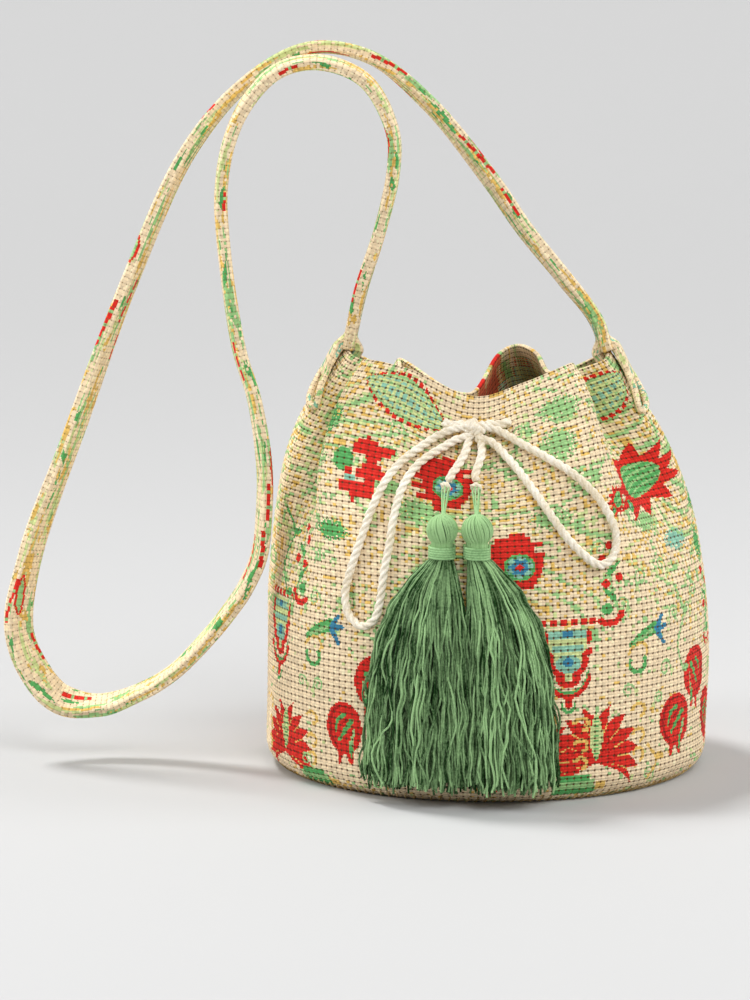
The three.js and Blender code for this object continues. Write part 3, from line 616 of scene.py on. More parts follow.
    def past_half(self, tree: Tree, value: Socket) -> Socket:
        """Return 1 in the second half of each face and 0 in the first."""
        part = add_node(tree, "ShaderNodeMath", {0: value}, operation="FRACT").outputs[0]
        return add_node(tree, "ShaderNodeMath", {0: part, 1: 0.5}, operation="GREATER_THAN").outputs[0]

    def blended(self, tree: Tree, share: Socket, first: Socket, second: Socket | tuple) -> Socket:
        """Return a blend of two colours."""
        return add_node(tree, "ShaderNodeMix", {0: share, 6: first, 7: second}, data_type="RGBA").outputs[2]

    def woven_dye(self, tree: Tree, u: Socket, v: Socket) -> Socket:
        """Return the dye of the quarter of a face that lies here."""
        right, high = self.past_half(tree, u), self.past_half(tree, v)
        rows = []
        for row in (0, 1):
            names = (f"dye_{row}0", f"dye_{row}1")
            pair = [add_node(tree, "ShaderNodeAttribute", attribute_name=name) for name in names]
            rows.append(self.blended(tree, right, pair[0].outputs["Color"], pair[1].outputs["Color"]))
        return self.blended(tree, high, rows[0], rows[1])

    def dyed(
        self, tree: Tree, place: tuple[Socket, Socket], yarn: Socket, fibres: Socket, hole: Socket
    ) -> Socket:
        """Return the colour: the stitch's dye, darker in the dips as painted shade, lighter on top as a
        painted highlight, and painted darkest in the holes as shade.
        """
        if self.patterned:
            dye = self.woven_dye(tree, *place)
        else:
            dye = add_node(tree, "ShaderNodeRGB").outputs[0]
            dye.default_value = linear(self.plain_colour)
        # Painted shade darkens the dips between the stitches, and a painted highlight lightens their tops
        dips = {"Value": yarn, "From Min": 0.1, "From Max": 0.85}
        dips |= {"To Min": self.dip_shade, "To Max": self.painted_top_highlight}
        flecks = {"Value": fibres, "From Min": 0.3, "From Max": 0.7, "To Min": 0.9, "To Max": 1.06}
        shade, fleck = (add_node(tree, "ShaderNodeMapRange", ramp).outputs[0] for ramp in (dips, flecks))
        both = add_node(tree, "ShaderNodeMath", {0: shade, 1: fleck}, operation="MULTIPLY").outputs[0]
        lit = add_node(tree, "ShaderNodeVectorMath", {0: dye, "Scale": both}, operation="SCALE").outputs[0]
        # The holes are painted in a dark colour that stands for the shade in them
        return self.blended(tree, hole, lit, linear(self.painted_hole_shade))


@dataclass(frozen=True)
class TwistedCotton:
    """Soft cotton, spun and twisted: matt, and uneven in tone from its fine fibres and broader patches.

    The tone goes from shade to colour between pale_from and pale_to. Where strand_weight is above 0, it also
    reads how light each strand is, which on the tassel yarn carries painted shade. Real fibres are finer than
    fibres_per_mm gives, and wouldn't show.
    """

    name: str
    colour: str
    shade: str
    roughness: float = 0.85
    fibres_per_mm: float = 0.9
    patches_per_mm: float = 0.09
    relief: float = 0.25
    strand_weight: float = 0.0
    pale_from: float = 0.7
    pale_to: float = 1.25

    def build(self) -> Material:
        """Return the material."""
        material = bpy.data.materials.new(self.name)
        material.use_nodes = True
        tree = material.node_tree
        tree.nodes.clear()
        where = add_node(tree, "ShaderNodeTexCoord").outputs["Object"]
        grain = {"Vector": where, "Scale": self.fibres_per_mm / MM, "Detail": 4.0}
        fibres = add_node(tree, "ShaderNodeTexNoise", grain).outputs["Fac"]
        grain = {"Vector": where, "Scale": self.patches_per_mm / MM, "Detail": 2.0}
        patches = add_node(tree, "ShaderNodeTexNoise", grain).outputs["Fac"]
        tone = add_node(tree, "ShaderNodeMath", {0: fibres, 1: patches}, operation="ADD").outputs[0]
        if self.strand_weight:
            strand = add_node(tree, "ShaderNodeAttribute", attribute_name="shade").outputs["Fac"]
            weighed = {0: tone, 1: self.strand_weight, 2: strand}
            tone = add_node(tree, "ShaderNodeMath", weighed, operation="MULTIPLY_ADD").outputs[0]
        ramp = {"Value": tone, "From Min": self.pale_from, "From Max": self.pale_to}
        share = add_node(tree, "ShaderNodeMapRange", ramp).outputs[0]
        blend = {0: share, 6: linear(self.shade), 7: linear(self.colour)}
        raised = {"Height": fibres, "Distance": self.relief * MM, "Strength": 0.7}
        shader = add_node(
            tree,
            "ShaderNodeBsdfPrincipled",
            {
                "Base Color": add_node(tree, "ShaderNodeMix", blend, data_type="RGBA").outputs[2],
                "Roughness": self.roughness,
                "Sheen Weight": 0.05,
                "Specular IOR Level": 0.15,
                "Normal": add_node(tree, "ShaderNodeBump", raised).outputs["Normal"],
            },
        )
        add_node(tree, "ShaderNodeOutputMaterial", {"Surface": shader.outputs["BSDF"]})
        return material


class Patch:
    """A window of a woven chart, with its own centre and lean, that shapes are painted in."""

    def __init__(
        self, chart: "WovenChart", x: float, y: float, reach: float, lean: float, mirror: bool
    ) -> None:
        """Take the window.

        Args:
            chart: the chart it belongs to.
            x: the centre's distance round the fabric, in millimetres.
            y: the centre's height up the fabric.
            reach: half the window's size.
            lean: how far the window's own axes are turned, in degrees.
            mirror: whether its left and right change places.
        """
        self.chart = chart
        first = math.floor((x - reach) / chart.cell_width + chart.columns / 2)
        count = min(math.ceil(2 * reach / chart.cell_width) + 1, chart.columns)
        self.cols = (first + np.arange(count)) % chart.columns
        low = max(0, math.floor((y - reach) / chart.cell_height))
        high = min(chart.rows, math.ceil((y + reach) / chart.cell_height) + 1)
        self.rows = np.arange(low, high)
        dx = (first + np.arange(count) + 0.5 - chart.columns / 2) * chart.cell_width - x
        dy = (self.rows + 0.5) * chart.cell_height - y
        a = math.radians(lean)
        gx, gy = np.meshgrid(dx, dy)
        self.x = (gx * math.cos(a) + gy * math.sin(a)) * (-1 if mirror else 1)
        self.y = -gx * math.sin(a) + gy * math.cos(a)

    def paint(self, mask: Array, dye: Dye) -> None:
        """Weave the cells under a mask in one dye."""
        window = np.ix_(self.rows, self.cols)
        part = self.chart.dyes[window]
        part[mask] = self.chart.palette.index(dye)
        self.chart.dyes[window] = part

    def oval(self, x: float, y: float, wide: float, high: float) -> Array:
        """Return the cells inside an oval of half width wide and half height high."""
        return np.hypot((self.x - x) / wide, (self.y - y) / high) < 1

    def box(self, x: float, y: float, wide: float, high: float) -> Array:
        """Return the cells inside a rectangle of half width wide and half height high."""
        return (abs(self.x - x) < wide) & (abs(self.y - y) < high)

    def ring(
        self, x: float, y: float, wide: float, high: float, width: float,
        arc: tuple[float, float] = (-180, 180), dashes: int = 0,
    ) -> Array:
        """Return the cells of an oval line, or of an arc of it in degrees from the right, dashed or whole."""
        dx, dy = (self.x - x) / wide, (self.y - y) / high
        angle = np.degrees(np.arctan2(dy, dx))
        line = abs(np.hypot(dx, dy) - 1) * min(wide, high) < width / 2
        inside = (angle - arc[0]) % 360 <= arc[1] - arc[0]
        dashed = ((angle + 180) / 360 * dashes) % 1 < 0.66 if dashes else True
        return line & inside & dashed

    def stroke(self, points: Points, width: float, tip: float | None = None) -> Array:
        """Return the cells of a line through points, width wide at its start and tip wide at its end."""
        points = np.asarray(points, float)
        tip = width if tip is None else tip
        mask = np.zeros_like(self.x, bool)
        for i, (a, b) in enumerate(zip(points[:-1], points[1:])):
            d = b - a
            t = np.clip(((self.x - a[0]) * d[0] + (self.y - a[1]) * d[1]) / max(d @ d, SHORTEST), 0, 1)
            gap = np.hypot(self.x - a[0] - t * d[0], self.y - a[1] - t * d[1])
            share = (i + t) / (len(points) - 1)
            mask |= gap < (width + (tip - width) * share) / 2
        return mask


@dataclass
class WovenChart:
    """The dye of each stitch of a woven piece, painted by motifs and streaks."""

    columns: int
    rows: int
    cell_width: float
    cell_height: float
    seed: int

    def __post_init__(self) -> None:
        """Start with plain cream."""
        self.palette = list(Dye)
        self.dyes = np.zeros((self.rows, self.columns), int)
        self.rng = np.random.default_rng(self.seed)

    def flowing_bands(self, amount: Array, period: float, swirl: float) -> None:
        """Weave dotted bands of green, lime and gold that flow in swirls over the ground.

        Args:
            amount: for each row of stitches, how much of the ground is dotted, 0 to 1.
            period: the rows of stitches from one band to the next.
            swirl: how far the bands stray from level, in bands.
        """
        shape = (self.rows // 2, self.columns // 2)
        broad = blurred(self.rng, shape, (17, 31))
        fine = blurred(self.rng, shape, (7, 13))
        dots = self.rng.random(shape)
        pairs = np.repeat(self.rng.random((shape[0], shape[1] // 2 + 1)), 2, axis=1)
        dots = np.minimum(dots, pairs[:, : shape[1]] + 0.15)
        level = np.arange(shape[0])[:, None] / period
        band = (level + swirl * broad + 0.35 * fine) % 1
        share = amount[:, None] * (0.5 + broad)
        stitches = np.full(shape, -1)
        for low, high, weight, dye in GROUND_BANDS:
            stitches[(band >= low) & (band < high) & (dots < weight * share)] = self.palette.index(dye)
        stitches[(stitches < 0) & (dots > 1 - 0.07 * share)] = self.palette.index(Dye.GOLD)
        whole = np.repeat(np.repeat(stitches, 2, axis=0), 2, axis=1)
        self.dyes[: whole.shape[0], : whole.shape[1]] = np.where(
            whole >= 0, whole, self.dyes[: whole.shape[0], : whole.shape[1]]
        )

    def colours(self, unevenness: float = 0.1) -> Array:
        """Return the linear colour of each cell, with each stitch a little lighter or darker."""
        table = np.array([linear(dye.value) for dye in self.palette])
        cells = table[self.dyes]
        stitches = self.rng.standard_normal((self.rows // 2 + 1, self.columns // 2 + 1))
        whole = np.repeat(np.repeat(stitches, 2, axis=0), 2, axis=1)[: self.rows, : self.columns]
        light = 1 + unevenness * whole
        cells[..., :3] *= np.clip(light, 0.7, 1.2)[..., None]
        return np.clip(cells, 0, 1)


class FolkPattern:
    """Traditional kilim and embroidery motifs, placed on a chart by distance round the bag and height."""

    def __init__(self, chart: WovenChart) -> None:
        """Keep the chart that the motifs are woven into."""
        self.chart = chart

    def patch(self, x: float, y: float, reach: float, lean: float = 0, mirror: bool = False) -> Patch:
        """Return a window of the chart for one motif."""
        return Patch(self.chart, x, y, reach, lean, mirror)

    def dashed_leaf(self, x: float, y: float, lean: float) -> None:
        """Weave a leaf of green and blue yarns in a dashed red outline, pointed at both ends."""
        p = self.patch(x, y, 32, lean)
        bow = np.hypot(p.x / 27, 1) - 1

        def leaf(half: float) -> Array:
            """Return the cells of a leaf of this half height."""
            return abs(p.y) < half * (1 - (p.x / 29) ** 2) - 3 * bow

        dashed = ((p.x + 40) / 4.6) % 1 < 0.64
        p.paint(leaf(10.5), Dye.LEAF)
        p.paint(leaf(8.6), Dye.LIME)
        p.paint(leaf(7.4) & ~leaf(5.6) & dashed, Dye.AQUA)
        p.paint(leaf(4.6) & ~leaf(3.0) & ~dashed, Dye.LEAF)
        p.paint(leaf(2.2) & dashed, Dye.AQUA)
        p.paint(leaf(12.8) & ~leaf(10.2) & dashed, Dye.RED)

    def stepped_tree(self, x: float, y: float, lean: float = 0, mirror: bool = False) -> None:
        """Weave a stepped red tree between green leaves."""
        p = self.patch(x, y, 28, lean, mirror)
        p.paint(p.oval(11, -6, 7, 4), Dye.LEAF)
        p.paint(p.oval(-12, 4, 5, 6), Dye.GREEN)
        p.paint(p.oval(10, 12, 5, 3), Dye.LEAF)
        steps = (
            (1, -2), (5, -1), (11, 3), (10, 2), (4, 2), (3, 2), (5, 2), (8, 3), (8, 3), (3, 2), (9, -4),
            (9, -4), (6, -2), (1, -6),
        )
        for k, (half, shift) in enumerate(steps):
            p.paint(p.box(shift, 17 - 2.5 * k, half, 1.4), Dye.RED)
        p.paint(p.box(-9, -2, 2.0, 2.5), Dye.RED)
        p.paint(p.box(-8, -5, 3.0, 1.4), Dye.AQUA)

    def core_flower(self, x: float, y: float, lean: float = 0) -> None:
        """Weave a stepped red flower with a blue and green heart."""
        p = self.patch(x, y, 26, lean)
        for k, half in enumerate((4, 9, 13, 11, 14, 16, 13, 15, 11, 12, 7, 3)):
            p.paint(p.box(1.5 * (-1) ** k, 15 - 2.7 * k, half, 1.5), Dye.RED)
        p.paint(p.oval(2, -2, 8, 7), Dye.GREEN)
        p.paint(p.oval(2, -2, 5.5, 4.5), Dye.BLUE)
        p.paint(p.ring(2, -2, 5.5, 4.5, 2.0, dashes=6), Dye.AQUA)
        p.paint(p.oval(2, -2, 2, 1.6), Dye.RED)

    def spiked_star(self, x: float, y: float, size: float, lean: float = 0, wide: float = 1.25) -> None:
        """Weave a spiked red star, drawn out to its sides, with a green leaf across its heart."""
        p = self.patch(x, y, 1.3 * wide * size, lean)
        angle = np.degrees(np.arctan2(p.y, p.x / wide))
        spike = abs((angle / 32.7) % 1 - 0.5) * 2
        p.paint(np.hypot(p.x / wide, p.y) < size * (0.66 + 0.4 * spike**1.4), Dye.RED)
        heart = p.oval(0.1 * size, 0, 0.5 * size * wide, 0.46 * size)
        p.paint(heart, Dye.LEAF)
        p.paint(heart & ((p.y / 3.2) % 1 < 0.62), Dye.GREEN)
        p.paint(p.oval(-0.62 * size * wide, -0.35 * size, 0.2 * size, 0.2 * size), Dye.GREEN)
        p.paint(p.oval(-0.62 * size * wide, -0.35 * size, 0.09 * size, 0.09 * size), Dye.AQUA)

    def berry_sprig(self, x: float, y: float, lean: float = 0, mirror: bool = False) -> None:
        """Weave a green sprig with red berries and a hooked foot."""
        p = self.patch(x, y, 26, lean, mirror)
        p.paint(p.stroke([(-4, -20), (0, -8), (1, 4), (-1, 16)], 1.8), Dye.LEAF)
        p.paint(p.stroke([(0, -8), (5, -3)], 3.4, 1.6), Dye.GREEN)
        p.paint(p.stroke([(1, 4), (-5, 8)], 3.4, 1.6), Dye.GREEN)
        for bx, by in ((0, 17), (4.5, 11), (-4.5, 1), (3.5, -1)):
            p.paint(p.oval(bx, by, 2.4, 2.2), Dye.RED)
        p.paint(p.ring(3, -14, 7, 6, 3.2, arc=(180, 330)), Dye.RED)
        p.paint(p.oval(4, -13, 3.4, 2.6), Dye.GREEN)

    def urn(self, x: float, y: float) -> None:
        """Weave a two-handled urn of red arcs, blue bands and green edges."""
        p = self.patch(x, y, 30)
        p.x *= 1.2
        p.paint(p.box(0, 8, 12, 8), Dye.LIME)
        p.paint(p.box(0, 13, 12, 2), Dye.AQUA)
        p.paint(p.box(0, 6, 10, 1.6), Dye.AQUA)
        p.paint(p.box(0, 13.5, 3.4, 1.6), Dye.BLUE)
        p.paint(p.box(16, 12, 3.2, 3), Dye.LEAF)
        p.paint(p.box(-16, 12, 3.2, 3), Dye.LEAF)
        for bx in (-15.5, -9, -2.5, 4, 10.5, 16):
            p.paint(p.box(bx, 18.6, 2.2, 1.8), Dye.RED)
        for sign in (-1, 1):
            p.paint(p.stroke([(13.5 * sign, 13), (13 * sign, 9)], 3), Dye.RED)
            p.paint(p.stroke([(14 * sign, 5), (10 * sign, 2.5)], 3.2), Dye.RED)
        p.paint(p.oval(0, -1.5, 8, 5), Dye.AQUA)
        p.paint(p.oval(0, 0, 3, 2.4), Dye.BLUE)
        p.paint(p.ring(0, 2, 11, 9, 3.2, arc=(180, 360)), Dye.RED)
        p.paint(p.ring(0, -3.5, 12.5, 11.5, 1.7, arc=(185, 355)), Dye.GREEN)
        p.paint(p.ring(0, -4, 13.5, 12.5, 2.4, arc=(190, 350)), Dye.RED)
        p.paint(p.ring(0, -7, 5.5, 4, 3.0, arc=(180, 360)), Dye.RED)
        p.paint(p.oval(0, -7, 2.4, 2), Dye.LIME)
        p.paint(p.oval(0, -19.5, 2.4, 2.8), Dye.RED)
        p.paint(p.ring(0, -19.5, 4, 4.4, 1.6, arc=(180, 360)), Dye.GREEN)

    def hooked_leaf(self, x: float, y: float, lean: float = 0, mirror: bool = False) -> None:
        """Weave a curled green leaf with a blue crown and a gold curl."""
        p = self.patch(x, y, 22, lean, mirror)
        p.paint(p.stroke([(-10, 0), (-3, 4), (6, 7)], 3.4, 6.5), Dye.GREEN)
        p.paint(p.stroke([(-8, 1), (4, 6)], 1.6), Dye.LEAF)
        p.paint(p.stroke([(7, 6), (11, 12)], 3.4, 2.4), Dye.BLUE)
        p.paint(p.stroke([(8, 6), (14, 7)], 3.2, 2.2), Dye.BLUE)
        p.paint(p.stroke([(8, 4), (12, -1)], 3.2, 2.2), Dye.BLUE)
        p.paint(p.ring(-4, -3.5, 4, 4, 1.8, arc=(-60, 130)), Dye.GOLD)
        p.paint(p.ring(-6, -9, 5, 4.4, 2.2, arc=(150, 400)), Dye.GREEN)
        p.paint(p.stroke([(-12, -4), (-9, -1)], 1.8), Dye.GOLD)

    def pomegranate(
        self, x: float, y: float, lean: float = 0, mirror: bool = False, wide: float = 11
    ) -> None:
        """Weave a red pomegranate with green hollows and a forked foot."""
        p = self.patch(x, y, 24, lean, mirror)
        high = 13
        p.paint(p.oval(0, 1, wide, high), Dye.RED)
        p.paint(p.oval(0, 1, 0.87 * wide, 0.88 * high) & ~p.oval(0.8, 1, 0.8 * wide, 0.82 * high), Dye.BRICK)
        p.paint(p.stroke([(-0.5 * wide, -1), (-0.35 * wide, 5), (0, 7.5)], 1.4, 2.4), Dye.GREEN)
        p.paint(p.stroke([(-0.28 * wide, -5), (0.05 * wide, 0), (0.42 * wide, 5)], 1.6, 3.0), Dye.GREEN)
        p.paint(p.stroke([(0.42 * wide, -6), (0.56 * wide, 1)], 2.4, 1.2), Dye.LEAF)
        p.paint(p.stroke([(-0.1 * wide, 3.4), (0.18 * wide, 5.4)], 1.0), Dye.BRICK)
        p.paint(p.stroke([(-2, -10), (-3.5, -16)], 4.2, 1.8), Dye.RED)
        p.paint(p.stroke([(3, -10), (4.5, -14.5)], 5, 3), Dye.RED)
        p.paint(p.stroke([(4.4, -8), (4.6, -13)], 2.4, 1.2), Dye.GREEN)

    def palmette(self, x: float, y: float, size: float = 1.0) -> None:
        """Weave a flaming red palmette with a lime heart, and gold curls at its side."""
        p = self.patch(x, y, 32 * size)
        foot = -12 * size
        reach = np.hypot(p.x, p.y - foot)
        angle = np.degrees(np.arctan2(p.x, p.y - foot))
        swept_up = angle - np.sign(angle) * 16 * (reach / (26 * size)) ** 2
        flame = abs((swept_up / 21.5 + 0.5) % 1 - 0.5) * 2
        edge = size * (27 - 8.0 * flame**0.8) * (1 - 0.1 * (abs(angle) / 100) ** 2)
        p.paint((reach < edge) & (abs(swept_up) < 108), Dye.RED)
        p.paint((reach > 0.42 * edge) & (reach < edge) & (flame > 0.9) & (abs(swept_up) < 100), Dye.GOLD)
        p.paint((reach > 0.3 * edge) & (reach < 0.62 * edge) & (flame > 0.86) & (abs(angle) < 90), Dye.BRICK)
        heart = abs(p.x) < 3.4 * size * (1 - (p.y / (11 * size)) ** 2)
        p.paint(heart, Dye.LIME)
        p.paint(heart & (((p.y / 2.2) % 1) < 0.35) & (abs(p.x) < 1.2), Dye.GREEN)
        for side in (-1, 1):
            for low, size_of in ((9, 4.2), (-2, 3.6), (-11, 3.2)):
                curl = p.ring(side * 24 * size, low * size, size_of * size, 3.0 * size, 1.7, arc=(-80, 170))
                p.paint(curl, Dye.GOLD)

    def tendril(self, x: float, y: float, size: float, lean: float = 0, mirror: bool = False) -> None:
        """Weave a thin curling tendril."""
        p = self.patch(x, y, 1.6 * size, lean, mirror)
        t = np.linspace(0, 1, 22)
        a = 2.6 * math.pi * t
        curl = np.stack([size * (1 - 0.82 * t) * np.cos(a), size * (1 - 0.82 * t) * np.sin(a)], -1)
        stem = np.array([(size, -1.4 * size), (1.06 * size, -0.6 * size)])
        p.paint(p.stroke(np.vstack([stem, curl]), 1.15), Dye.LEAF)
        p.paint(p.oval(1.25 * size, -0.9 * size, 1.7, 1.2), Dye.LIME)

    def green_block(self, x: float, y: float) -> None:
        """Weave a small stepped green mound."""
        p = self.patch(x, y, 16)
        p.paint(p.box(0, -3.5, 11, 2.4), Dye.GREEN)
        p.paint(p.box(0, 0.5, 10, 2.4), Dye.LEAF)
        p.paint(p.box(0, 3.5, 8, 1.8), Dye.GREEN)
        p.paint(p.box(14, -1, 3, 2), Dye.GOLD)

    def vine(self, points: tuple[tuple[float, float], ...], dye: Dye = Dye.LEAF) -> None:
        """Weave a thin vine through points, with a leaf at every other one."""
        middle = np.mean(points, axis=0)
        reach = float(np.abs(np.asarray(points) - middle).max()) + 8
        p = self.patch(middle[0], middle[1], reach)
        line = np.asarray(points, float) - middle
        smooth_line, _ = crossing_curve(np.column_stack([line, np.zeros(len(line))]), 6)
        p.paint(p.stroke(smooth_line[:, :2], 1.6), dye)
        for px, py in line[1::2]:
            p.paint(p.oval(px + 2.6, py + 1.4, 3.2, 2.0), dye)

    def leaf_cloud(self, x: float, y: float, wide: float, high: float, dye: Dye) -> None:
        """Weave a soft broad leaf with a ragged edge."""
        p = self.patch(x, y, max(wide, high) + 6)
        ragged = self.chart.rng.random(p.x.shape)
        edge = np.hypot(p.x / wide, p.y / high)
        p.paint((edge < 1) & (ragged > 0.9 * edge**3), dye)


@dataclass
class BagCloth:
    """The gathered wall: a thick shell of patterned weave from the base seam over the rim to the inside."""

    columns: int = 384
    rows: int = 144
    inner_rows: int = 36
    hole_dip: float = 0.5
    yarn_rise: float = 0.3
    reverse_colour: str = "#b8925a"
    seed: int = 7

    def slack(self, turn: Array, climb: Array) -> Array:
        """Return how far the cloth sags in or swells out, in millimetres, so that it isn't stiff."""
        a = np.radians(turn)
        broad = 0.5 * np.sin(3 * a + 5.1 * climb + 0.7) + 0.4 * np.sin(5 * a - 9.0 * climb + 2.1)
        ripple = 0.3 * np.sin(11 * a + 14.0 * climb) + 0.22 * np.sin(17 * a - 23.0 * climb + 1.2)
        pucker = 0.55 * np.sin(34 * a + 3 * np.sin(5 * a)) * np.exp(-(((climb - 0.86) / 0.07) ** 2))
        seam = -0.9 * np.exp(-(((abs(turn) - 97) / 0.8) ** 2)) * smooth((climb - 0.05) / 0.05)
        ends = smooth(climb / 0.08) * smooth((1.0 - climb) / 0.05)
        return (broad + ripple + pucker) * ends + seam * smooth((0.8 - climb) / 0.2)

    def pattern(self) -> WovenChart:
        """Return the chart of the wall, with every motif in its place."""
        cell_width = math.pi * FORM.belly / self.columns
        cell_height = FORM.height() / self.rows / 2
        chart = WovenChart(2 * self.columns, 2 * self.rows, cell_width, cell_height, self.seed)
        heights = (np.arange(self.rows) + 0.5) * FORM.height() / self.rows
        amount = np.interp(heights, *zip(*GROUND_DOTS))
        chart.flowing_bands(amount, period=17.0, swirl=5.0)
        self.front_motifs(FolkPattern(chart))
        self.back_motifs(FolkPattern(chart))
        return chart

    def front_motifs(self, folk: FolkPattern) -> None:
        """Place the motifs of the front, from the rim down."""
        for x, y, wide, high, dye in (
            (43, 203, 13, 8, Dye.LEAF), (38, 184, 11, 10, Dye.LEAF), (-93, 190, 14, 9, Dye.GREEN),
            (-100, 170, 16, 7, Dye.LEAF), (-36, 150, 14, 7, Dye.LEAF), (-84, 134, 12, 6, Dye.GREEN),
            (92, 176, 14, 7, Dye.LEAF), (100, 138, 15, 6, Dye.LEAF), (30, 146, 12, 6, Dye.LEAF),
            (122, 126, 11, 6, Dye.AQUA), (150, 120, 8, 10, Dye.GREEN),
        ):
            folk.leaf_cloud(x, y, wide, high, dye)
        folk.dashed_leaf(-51, 208, -14)
        folk.dashed_leaf(129, 206, 16)
        folk.stepped_tree(-64, 166)
        folk.core_flower(-24, 168)
        folk.spiked_star(114, 158, 17, 12, 2.6)
        folk.spiked_star(70, 150, 8, 20)
        folk.berry_sprig(-114, 116)
        folk.berry_sprig(61, 112, 4, True)
        folk.berry_sprig(148, 90, 6)
        folk.core_flower(11, 124)
        folk.urn(36, 75)
        folk.urn(-134, 79)
        folk.hooked_leaf(-92, 81)
        folk.hooked_leaf(82, 80)
        folk.pomegranate(-77, 38)
        folk.pomegranate(-59, 62, 0, True)
        folk.pomegranate(106, 38, -4, False, 13)
        folk.pomegranate(129, 58, -6, True, 15)
        folk.pomegranate(150, 34, 4, False, 12)
        folk.palmette(-124, 32)
        folk.palmette(51, 38, 1.08)
        folk.palmette(20, 36, 0.95)
        folk.green_block(40, 15)
        folk.green_block(-100, 11)
        for x, y, size, lean, mirror in (
            (96, 66, 4.5, 20, False), (104, 92, 4.0, -10, True), (118, 92, 3.6, 15, False),
            (92, 52, 3.4, 0, True), (70, 58, 3.6, 30, False), (66, 100, 4.0, 0, False),
            (80, 112, 4.4, 20, True), (100, 116, 4.0, -20, False), (128, 100, 4.6, 10, True),
            (84, 16, 3.6, 0, False), (-94, 58, 3.8, 0, True), (-108, 58, 3.4, 20, False),
            (-56, 88, 3.6, 0, False), (-74, 100, 4.2, -15, True), (-98, 100, 4.0, 20, False),
            (-120, 96, 4.0, 0, True), (-104, 20, 3.6, 0, False), (146, 74, 4.2, 0, False),
            (160, 58, 3.6, 10, True), (54, 128, 4.4, 0, True), (-52, 190, 4.6, 10, False),
            (88, 178, 5.0, 0, True), (18, 196, 4.4, 0, False),
        ):
            folk.tendril(x, y, size, lean, mirror)
        folk.vine(((108, 104), (114, 90), (108, 76), (114, 62)))
        folk.vine(((-140, 140), (-128, 128), (-134, 112), (-126, 98)), Dye.GREEN)
        folk.vine(((84, 30), (90, 22), (84, 14)), Dye.GOLD)

    def back_motifs(self, folk: FolkPattern) -> None:
        """Carry the same motifs round the back, where the photograph doesn't look."""
        pitch = 50.0
        for k in range(7):
            x = 182 + pitch * k
            flip = k % 2 == 1
            folk.leaf_cloud(x + 20, 186, 13, 8, Dye.LEAF)
            folk.leaf_cloud(x - 14, 140, 14, 6, Dye.GREEN)
            if flip:
                folk.dashed_leaf(x, 206, 14)
                folk.spiked_star(x, 160, 16, -15)
                folk.berry_sprig(x + 14, 112, 0, True)
                folk.hooked_leaf(x, 80)
                folk.palmette(x, 34)
            else:
                folk.dashed_leaf(x, 205, -14)
                folk.stepped_tree(x, 164, 0, k % 4 == 0)
                folk.berry_sprig(x + 12, 116)
                folk.urn(x, 76)
                folk.pomegranate(x, 36, 0, k % 4 == 0)
            folk.vine(((x + 24, 62), (x + 29, 50), (x + 24, 40)))
            for high, size in ((94, 4.0), (58, 3.6), (128, 4.4), (182, 4.6)):
                folk.tendril(x + 22, high, size, 0, flip)
        folk.core_flower(334, 208)
        folk.stepped_tree(316, 207)

    def build(self) -> None:
        """Make the wall's shell and let it stand for its solid."""
        turns = -180 + 360 * np.arange(self.columns) / self.columns
        climbs = np.arange(self.rows + 1) / self.rows
        turn, climb = np.meshgrid(turns, climbs)
        corner = (np.arange(self.columns)[None, :] % 2) + (np.arange(self.rows + 1)[:, None] % 2)
        relief = np.select([corner == 0, corner == 2], [-self.hole_dip, self.yarn_rise], 0.0)
        relief = relief * smooth((1 - climb) / 0.01) * smooth(climb / 0.03)
        outer = FORM.lifted(turn, climb, self.slack(turn, climb) + relief)
        out, up = FORM.frame_at(turns, 1.0)[2], FORM.frame_at(turns, 1.0)[1]
        edge = outer[-1]
        rim = [
            edge - 0.15 * FORM.wall * out + 0.3 * FORM.wall * up,
            edge - 0.5 * FORM.wall * out + 0.44 * FORM.wall * up,
            edge - 0.85 * FORM.wall * out + 0.3 * FORM.wall * up,
        ]
        inner_climbs = np.linspace(1, 0, self.inner_rows + 1)
        turn_in, climb_in = np.meshgrid(turns, inner_climbs)
        inner = FORM.lifted(turn_in, climb_in, self.slack(turn_in, climb_in) - FORM.wall)
        inner[-1, :, :2] = outer[0, :, :2]
        inner[-1, :, 2] = FORM.wall
        rings = np.concatenate([outer, rim, inner])
        chart = self.pattern()
        front = chart.colours()
        reverse = front[:: -(self.rows // self.inner_rows)]
        # The inside shows the pattern reversed, blended about a third of the way towards a dull tan
        reverse_toward_tan = 0.35 * np.asarray(linear(self.reverse_colour)) + 0.65 * reverse
        dyes = np.concatenate([front, np.repeat(front[-2:], 4, axis=0), reverse_toward_tan, front[:2]])
        over_rim = self.rows + np.array([0.5, 1, 1.5])
        inside = self.rows + 2 - self.rows * (1 - inner_climbs)
        up_cells = np.concatenate([np.arange(self.rows + 1), over_rim, inside, [-2]])
        # Jacquard-woven cotton: thick matt yarns, a small hole beside each block painted dark as shade, and
        # painted shade and highlight on the stitches
        cloth = WovenCotton("basket_weave_cotton", 2 * chart.cell_width, 2 * chart.cell_height)
        mesh = MeshMaker.grid(
            "bag_cloth", rings, cloth.build(), dyes, (up_cells, np.arange(self.columns + 1.0)), looped=True
        )
        MeshMaker.piece("bag_cloth", mesh, "bag_weave", "bag_wall")


@dataclass
class StrapEnd:
    """Where an end of the strap holds the rim."""

    turn: float
    slant: float


